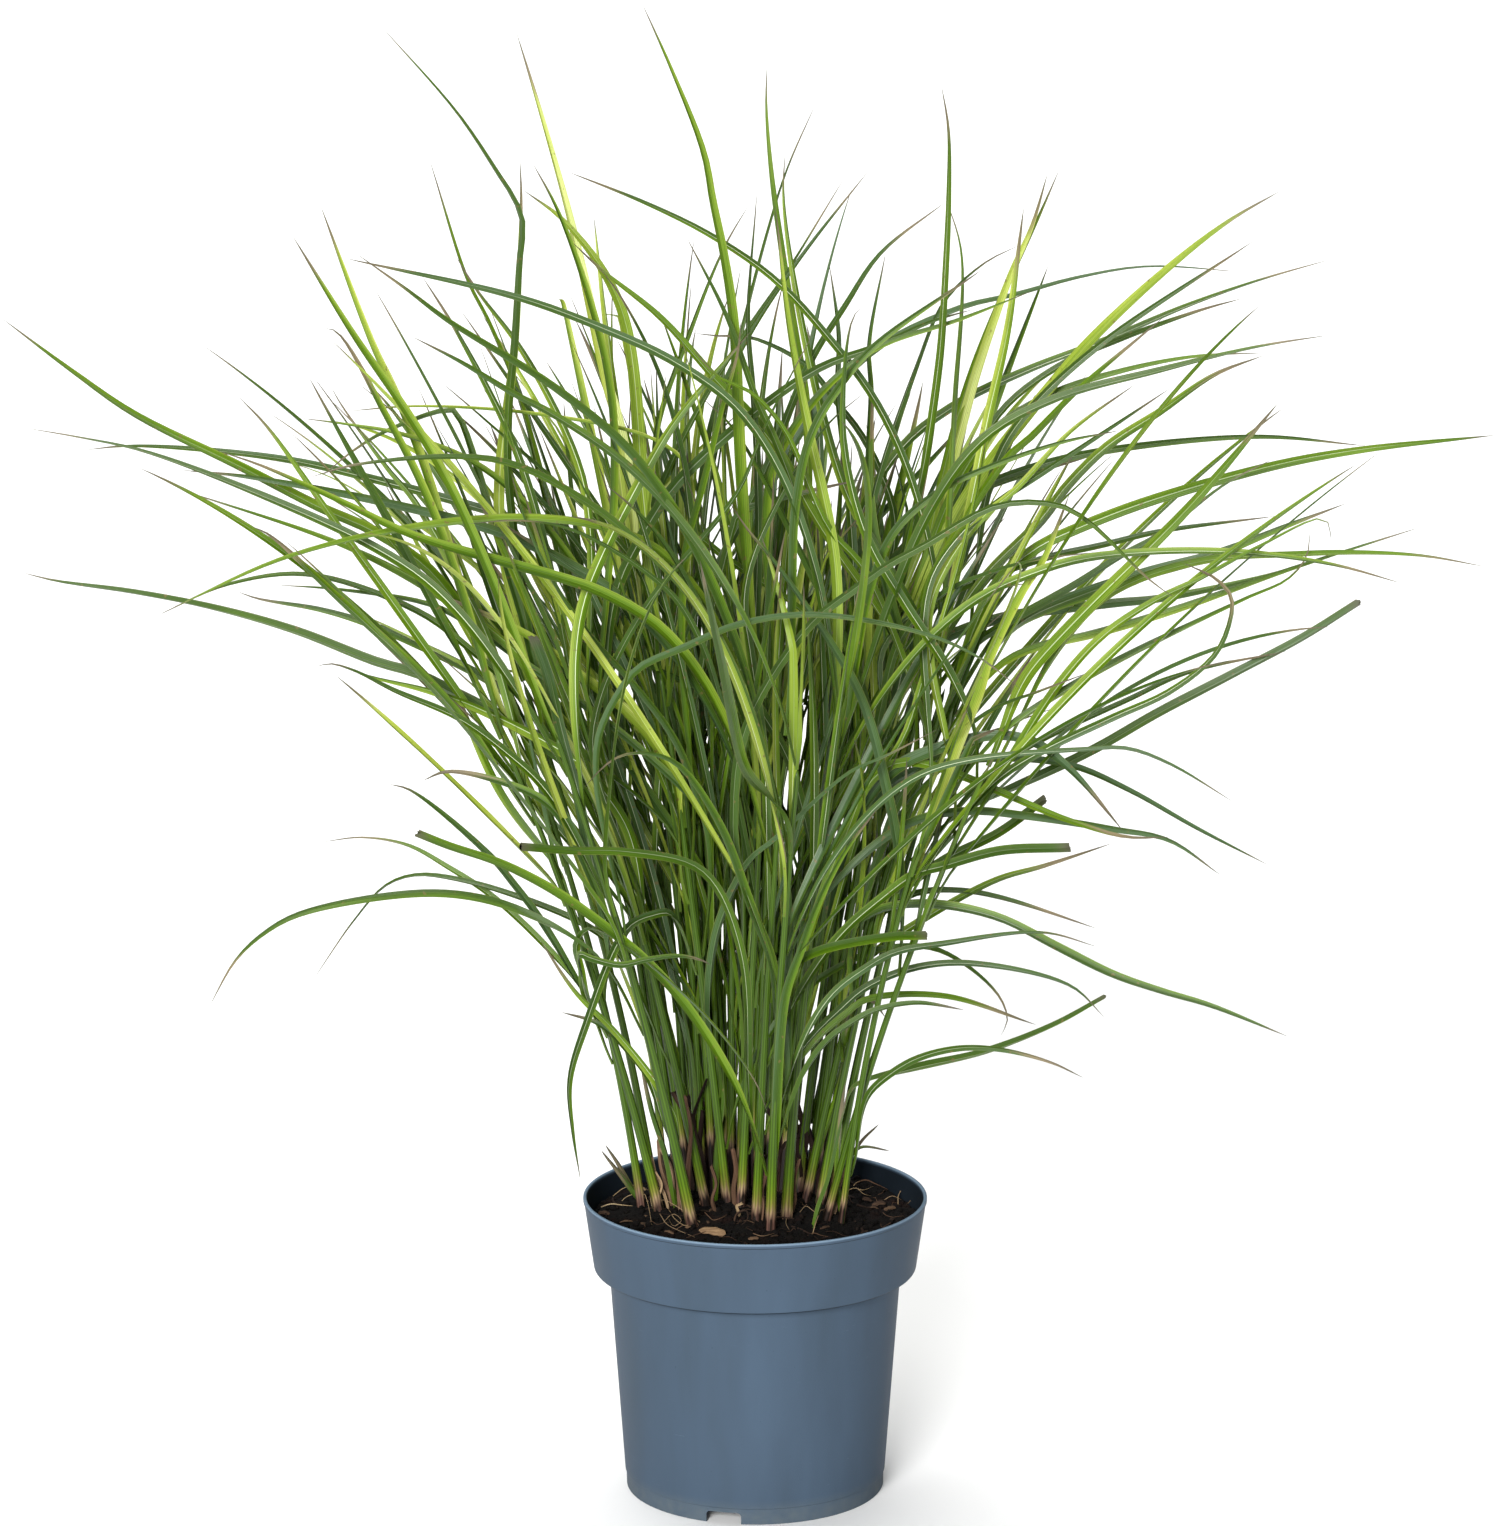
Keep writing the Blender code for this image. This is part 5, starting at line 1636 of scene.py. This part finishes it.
@dataclass
class RootBall:
    """The potting soil: one body that fills the pot, with a grainy surface.

    Args:
        finish: The finish of the soil.
        pot: The pot that it fills.
    """

    finish: bpy.types.Material
    pot: NurseryPot
    edge_z: float = 0.1515
    mound_radius: float = 0.052
    heap_centre: tuple = (0.055, 0.055)
    heap_height: float = 0.005
    heap_spread: float = 0.022
    # Lumps and grains, by how many there are to a metre and how high they stand
    grains: tuple = ((150.0, 0.0011), (420.0, 0.0007), (900.0, 0.0003))
    rings: int = 74
    sides: int = 220
    # The gap between the soil and the pot's wall
    clear: float = 0.0004

    def level(self, x: float, y: float) -> float:
        """The level of the soil with its lumps and grains: a low mound under the clump, and a heap.

        Args:
            x: The place's distance to the right of the pot's axis.
            y: Its distance behind it.

        Returns:
            The height above the pot's foot.
        """
        away = math.hypot(x - CROWN_CENTRE[0], y - CROWN_CENTRE[1]) / self.mound_radius
        mound = (CROWN_Z - self.edge_z) * math.exp(-(away ** 4) / 4)
        aside = math.hypot(x - self.heap_centre[0], y - self.heap_centre[1]) / self.heap_spread
        level = self.edge_z + max(mound, self.heap_height * math.exp(-(aside ** 2)))
        for scale, height in self.grains:
            level += height * noise.noise(Vector((x, y, scale)) * scale)
        return level

    def build(self) -> None:
        """Adds the soil to the scene."""
        pot = self.pot
        shelf = pot.collar_bottom_z + pot.wall + self.clear
        body = pot.body_top_radius - pot.wall - self.clear
        collar = pot.collar_bottom_radius - pot.wall - self.clear
        rim = pot.rim_radius - pot.rim_wall - self.clear
        edge = collar + (rim - collar) * (self.edge_z - shelf) / (pot.height - shelf)
        foot = pot.floor_z + pot.floor_thickness + self.clear
        outline = [(pot.body_bottom_radius - pot.wall - self.clear - 0.0005, foot),
                   (body, pot.collar_bottom_z - 0.0012), (body + 0.0007, shelf), (collar - 0.0014, shelf),
                   (collar, shelf + 0.0014), (edge, self.edge_z - 0.0008)]
        outline += [(radius, None) for radius in np.linspace(edge - 0.0005, 0.0, self.rings)[:-1]]
        places = []
        for radius, level in outline:
            for turn in turns_round(self.sides):
                x, y = radius * toward(turn)
                places.append((x, y, self.level(x, y) if level is None else level))
        index = np.arange(len(places)).reshape(-1, self.sides)
        faces = [*quads(index), index[0][::-1].tolist(), *fan(index[-1], len(places))]
        mesh = bpy.data.meshes.new("root_ball")
        mesh.from_pydata([*places, (0.0, 0.0, self.level(0.0, 0.0))], [], faces)
        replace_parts(add_piece("root_ball", mesh, self.finish, 50), "soil")


@dataclass
class Litter:
    """What lies on the soil or stands dead in the clump: crumbs, fibres, roots, chips, dead sheaths
    and the short blades at the clump's foot.

    Args:
        soil: The soil it lies on.
        crumb: The finish of the crumbs.
        living: The finish of the short blades.
    """

    soil: RootBall
    crumb: bpy.types.Material
    living: bpy.types.Material
    seed: int = 7
    crumb_count: int = 1900
    fibre_count: int = 80
    twig_count: int = 18
    chip_count: int = 40
    stump_count: int = 170
    strand_rings: int = 18
    strand_sides: int = 7
    chip_rings: int = 12
    chip_sides: int = 10
    # How flat a chip is, as its depth over its width
    chip_depth: float = 0.24
    upright_places: int = 26
    dead_thickness: float = 0.00022
    # The stumps stand behind this level of the front view
    front_row_px: float = 1200.0
    # Where the soil's surface ends, and how deep in it the short blades start
    edge: float = 0.0895
    hidden_start: float = 0.003

    def __post_init__(self) -> None:
        """Makes the finishes of what is dead."""
        self.fibre = DeadFibre().build()
        self.bark = DeadFibre("Wood and bark, splintered", WOOD_TONES, 14.0, 240.0).build()
        self.rng = random.Random(self.seed)
        self.pick = self.rng.uniform

    def _on_soil(self, px: tuple, lift: float = 0.0) -> np.ndarray:
        """The place on the soil that the front view shows at a pixel.

        Args:
            px: The pixel.
            lift: How far above the soil the place is.

        Returns:
            The place.
        """
        place = VIEW.place(px, Axis.LEVEL, CROWN_Z)
        for _ in range(4):
            place = VIEW.place(px, Axis.LEVEL, self.soil.level(*place[:2]) + lift)
        return place

    def _anywhere(self, reach: float) -> np.ndarray:
        """Picks a place on the soil's surface, each part of it as likely.

        Args:
            reach: The greatest distance from the pot's axis.

        Returns:
            The place.
        """
        away, turn = reach * math.sqrt(self.rng.random()), self.pick(0, 2 * math.pi)
        x, y = away * toward(turn)
        return np.array([x, y, self.soil.level(x, y)])

    def build(self) -> None:
        """Adds the crumbs, strands, chips, dead sheaths and short blades."""
        self._add_crumbs()
        self._add_strands()
        self._add_chips()
        self._add_upright()

    def _add_crumbs(self) -> None:
        """Adds crumbs of soil, lumpy and of many sizes, half sunk in the surface."""
        ball = bmesh.new()
        bmesh.ops.create_icosphere(ball, subdivisions=2, radius=1.0)
        shape = np.array([corner.co[:] for corner in ball.verts])
        faces = np.array([[corner.index for corner in face.verts] for face in ball.faces])
        ball.free()
        places = []
        for _ in range(self.crumb_count):
            size = 0.0005 + 0.0016 * self.rng.random() ** 3
            offset = Vector((self.pick(0, 50),) * 3)
            bumps = np.array([1 + 0.42 * noise.noise(Vector(corner) * 1.4 + offset) for corner in shape])
            stretch = (self.pick(0.7, 1.5), self.pick(0.7, 1.2), 0.8)
            turn = self.pick(0, 2 * math.pi)
            spin = np.array([[math.cos(turn), math.sin(turn), 0], [-math.sin(turn), math.cos(turn), 0],
                             [0, 0, 1]])
            at = self._anywhere(self.edge - size) + (0, 0, 0.3 * size)
            places.append((shape * bumps[:, None] * stretch * size) @ spin + at)
        mesh = bpy.data.meshes.new("soil_crumbs")
        joined = [faces + number * len(shape) for number in range(self.crumb_count)]
        mesh.from_pydata(np.concatenate(places).tolist(), [], np.concatenate(joined).tolist())
        add_piece("soil_crumbs", mesh, self.crumb, 180)

    def _add_strands(self) -> None:
        """Adds the roots and twigs that the front view shows, and many finer fibres."""
        skin = Skin()
        for words, px in read_rows(STRANDS):
            radius, tone, lift = map(float, words)
            arch = np.sin(np.linspace(0, math.pi, len(px))) * lift * MM + radius * MM
            self._add_strand(skin, [self._on_soil(*pair) for pair in zip(px, arch)], radius * MM, tone)
        for number in range(self.fibre_count + self.twig_count):
            twig = number >= self.fibre_count
            radius = self.pick(0.0004, 0.0008) if twig else self.pick(0.00010, 0.00022)
            length = self.pick(0.006, 0.024)
            place, turn, places = self._anywhere(self.edge - 0.004), self.pick(0, 6.3), []
            for _ in range(5):
                hop = self.pick(0.3, 2.2) * (0.0004 if twig else 0.0011)
                places.append(np.array([*place[:2], self.soil.level(*place[:2]) + radius * 0.6 + hop]))
                turn += self.pick(-0.25, 0.25) if twig else self.pick(-1.0, 1.0)
                place = place + length / 4 * np.array([*toward(turn), 0.0])
                if math.hypot(place[0], place[1]) > self.edge - 0.001:
                    break
            if len(places) > 2:
                tone = self.pick(-0.2, 0.1) if twig else self.pick(-0.2, 0.38)
                self._add_strand(skin, places, radius, tone)
        skin.piece("roots_and_fibres", self.fibre, "soil")

    def _add_strand(self, skin: Skin, places: list, radius: float, tone: float) -> None:
        """Gathers one strand that thins towards its tip.

        Args:
            skin: What gathers it.
            places: The places it passes.
            radius: Its greatest radius.
            tone: Its tone.
        """
        share = np.linspace(0, 1, self.strand_rings)
        knots = np.array([self.pick(0.85, 1.15) for _ in share])
        radii = (radius * (1 - share ** 2.2 * 0.8) * knots)[:, None] * np.ones(self.strand_sides)
        add_tube(skin, smooth_curve(places, len(share)), radii, (tone, self.rng.random()))

    def _add_chips(self) -> None:
        """Adds flat splinters of wood and bark on the soil."""
        skin = Skin()
        chips = []
        for words, px in read_rows(CHIPS):
            width, tone = float(words[0]) * MM, float(words[1])
            ends = [self._on_soil(point, 0.4 * width) for point in px]
            chips.append((*ends, width, tone, unit(VIEW.eye - ends[0]) + (0, 0, 0.6)))
        for _ in range(self.chip_count):
            at = self._anywhere(self.edge - 0.007) + (0, 0, 0.0006)
            turn, length = self.pick(0, math.pi), self.pick(0.003, 0.008)
            along = length * np.array([*toward(turn), self.pick(-0.08, 0.16)])
            chips.append((at - along / 2, at + along / 2, self.pick(0.0015, 0.0035),
                          self.pick(-0.05, 0.35), (0.1, 0.1, 1.0)))
        for first, last, width, tone, up in chips:
            bow = (0, 0, self.pick(0.03, 0.12) * np.linalg.norm(last - first))
            share = np.linspace(0, 1, self.chip_rings)
            jag = np.array([self.pick(0.72, 1.1) for _ in share])
            radii = width / 2 * np.sqrt(np.clip(1 - (2 * share - 1) ** 4, 0.04, 1)) * jag
            add_tube(skin, smooth_curve([first, (first + last) / 2 + bow, last], len(share)),
                     radii[:, None] * np.ones(self.chip_sides), (tone, self.rng.random()),
                     flat=self.chip_depth, start=up)
        skin.piece("wood_chips", self.bark, "soil", 50)

    def _stand(self, skin: Skin, foot: np.ndarray, places: list, form: BladeForm) -> None:
        """Gathers a short blade or sheath that rises from a foot in the soil through the places."""
        middle = smooth_curve([foot, *places], self.upright_places)
        add_blade(skin, middle, np.array([0.0, -1.0, 0.0]), form)

    def _add_upright(self) -> None:
        """Adds the papery dead sheaths between the stems, and the short living blades."""
        dead, living = Skin(), Skin()
        for _ in range(self.stump_count):
            away, turn = math.sqrt(self.rng.random()) * 0.9, self.pick(0, 2 * math.pi)
            x, y = CROWN_CENTRE + away * toward(turn) * CROWN_HALF
            foot = np.array([x, y, self.soil.level(x, y) - self.hidden_start])
            if VIEW.seen(foot)[1] > self.front_row_px:
                continue
            sway = [self.pick(-0.15, 0.15) for _ in range(4)]
            tall = self.pick(0.02, 0.07)
            places = [foot + tall * share * np.array([x * 1.2 + sway[k], y + sway[k + 1], 1.0])
                      for k, share in enumerate((0.3, 0.65, 1))]
            form = BladeForm(self.pick(0.0018, 0.0046), self.pick(-1.5, 1.5),
                             self.pick(-1, 1), (self.pick(-0.35, 0.06), self.rng.random()),
                             End.CUT, 0.0, self.dead_thickness)
            self._stand(dead, foot, places, form)
        for table, skin in ((DEAD_SHEATHS, dead), (SPROUTS, living)):
            for (width, look), px in read_rows(table):
                foot = self._on_soil(px[0], -self.hidden_start)
                places = [VIEW.place(point, Axis.DEPTH, foot[1] - 0.002) for point in px]
                if skin is dead:
                    tone, end, most, thickness = float(look), End.CUT, 1.0, self.dead_thickness
                else:
                    (tone, end), most, thickness = read_look(look), 0.6, BladeForm.thickness
                    tone = tone.value
                turn, twist = self.pick(-0.9, 0.9), self.pick(-most, most)
                form = BladeForm(float(width) * MM, turn, twist, (tone, self.rng.random()), end,
                                 self.pick(*end.value), thickness)
                self._stand(skin, foot, places, form)
        dead.piece("dead_sheaths", self.fibre, "leaf")
        living.piece("short_blades", self.living, "leaf")


@dataclass(frozen=True)
class Sun:
    """A far soft light: where it shines from and how wide it is, in degrees, and how bright."""

    name: str
    azimuth: float
    elevation: float
    strength: float
    spread: float


@dataclass(frozen=True)
class Studio:
    """A plain pale floor under plain soft light, and the camera."""

    suns: tuple = (
        Sun("key_front", -106.0, 20.0, 4.9, 24.0),
        Sun("fill_right", -55.0, 12.0, 0.5, 50.0),
        Sun("overhead", 110.0, 74.0, 3.1, 50.0),
    )
    sky: str = "#f2f4f6"
    sky_light: float = 0.08
    sky_seen: float = 1.0

    def build(self) -> None:
        """Adds the floor, the lights and the camera."""
        work = bmesh.new()
        bmesh.ops.create_grid(work, x_segments=4, y_segments=4, size=FLOOR_SIZE / 2)
        mesh = bpy.data.meshes.new("studio_floor")
        work.to_mesh(mesh)
        work.free()
        mesh.materials.append(StudioPaint().build())
        floor = put("studio_floor", mesh)
        for sun in self.suns:
            data = bpy.data.lights.new(sun.name, "SUN")
            data.energy = sun.strength
            data.angle = math.radians(sun.spread)
            azimuth, elevation = math.radians(sun.azimuth), math.radians(sun.elevation)
            shining = Vector((*(math.cos(elevation) * toward(azimuth)), math.sin(elevation)))
            put(sun.name, data).rotation_euler = shining.to_track_quat("Z", "Y").to_euler()
        world = bpy.data.worlds.new("studio")
        world.use_nodes = True
        tree = world.node_tree
        sky = tree.nodes["Background"]
        sky.inputs["Color"].default_value = linear(self.sky)
        # The backdrop is seen white, and adds only a little light of its own
        path = tree.nodes.new("ShaderNodeLightPath")
        level = tree.nodes.new("ShaderNodeMapRange")
        level.inputs["To Min"].default_value = self.sky_light
        level.inputs["To Max"].default_value = self.sky_seen
        tree.links.new(path.outputs["Is Camera Ray"], level.inputs["Value"])
        tree.links.new(level.outputs["Result"], sky.inputs["Strength"])
        bpy.context.scene.world = world
        bpy.context.scene.view_settings.view_transform = "Standard"
        bpy.context.scene.camera = VIEW.camera()


def main() -> None:
    """Builds the pot, the soil, the litter, the clump and the studio."""
    logging.basicConfig(level=logging.INFO, format="%(message)s")
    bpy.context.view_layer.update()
    living = LivingBlade().build()
    pot = NurseryPot(MouldedPolypropylene().build())
    pot.build()
    soil = RootBall(PottingCompost().build(), pot)
    soil.build()
    Litter(soil, PottingCompost("Compost crumbs, damp peat", grain=900.0).build(), living).build()
    GrassClump(living, LeafSheath().build()).build()
    Studio().build()


if __name__ == "__main__":
    main()
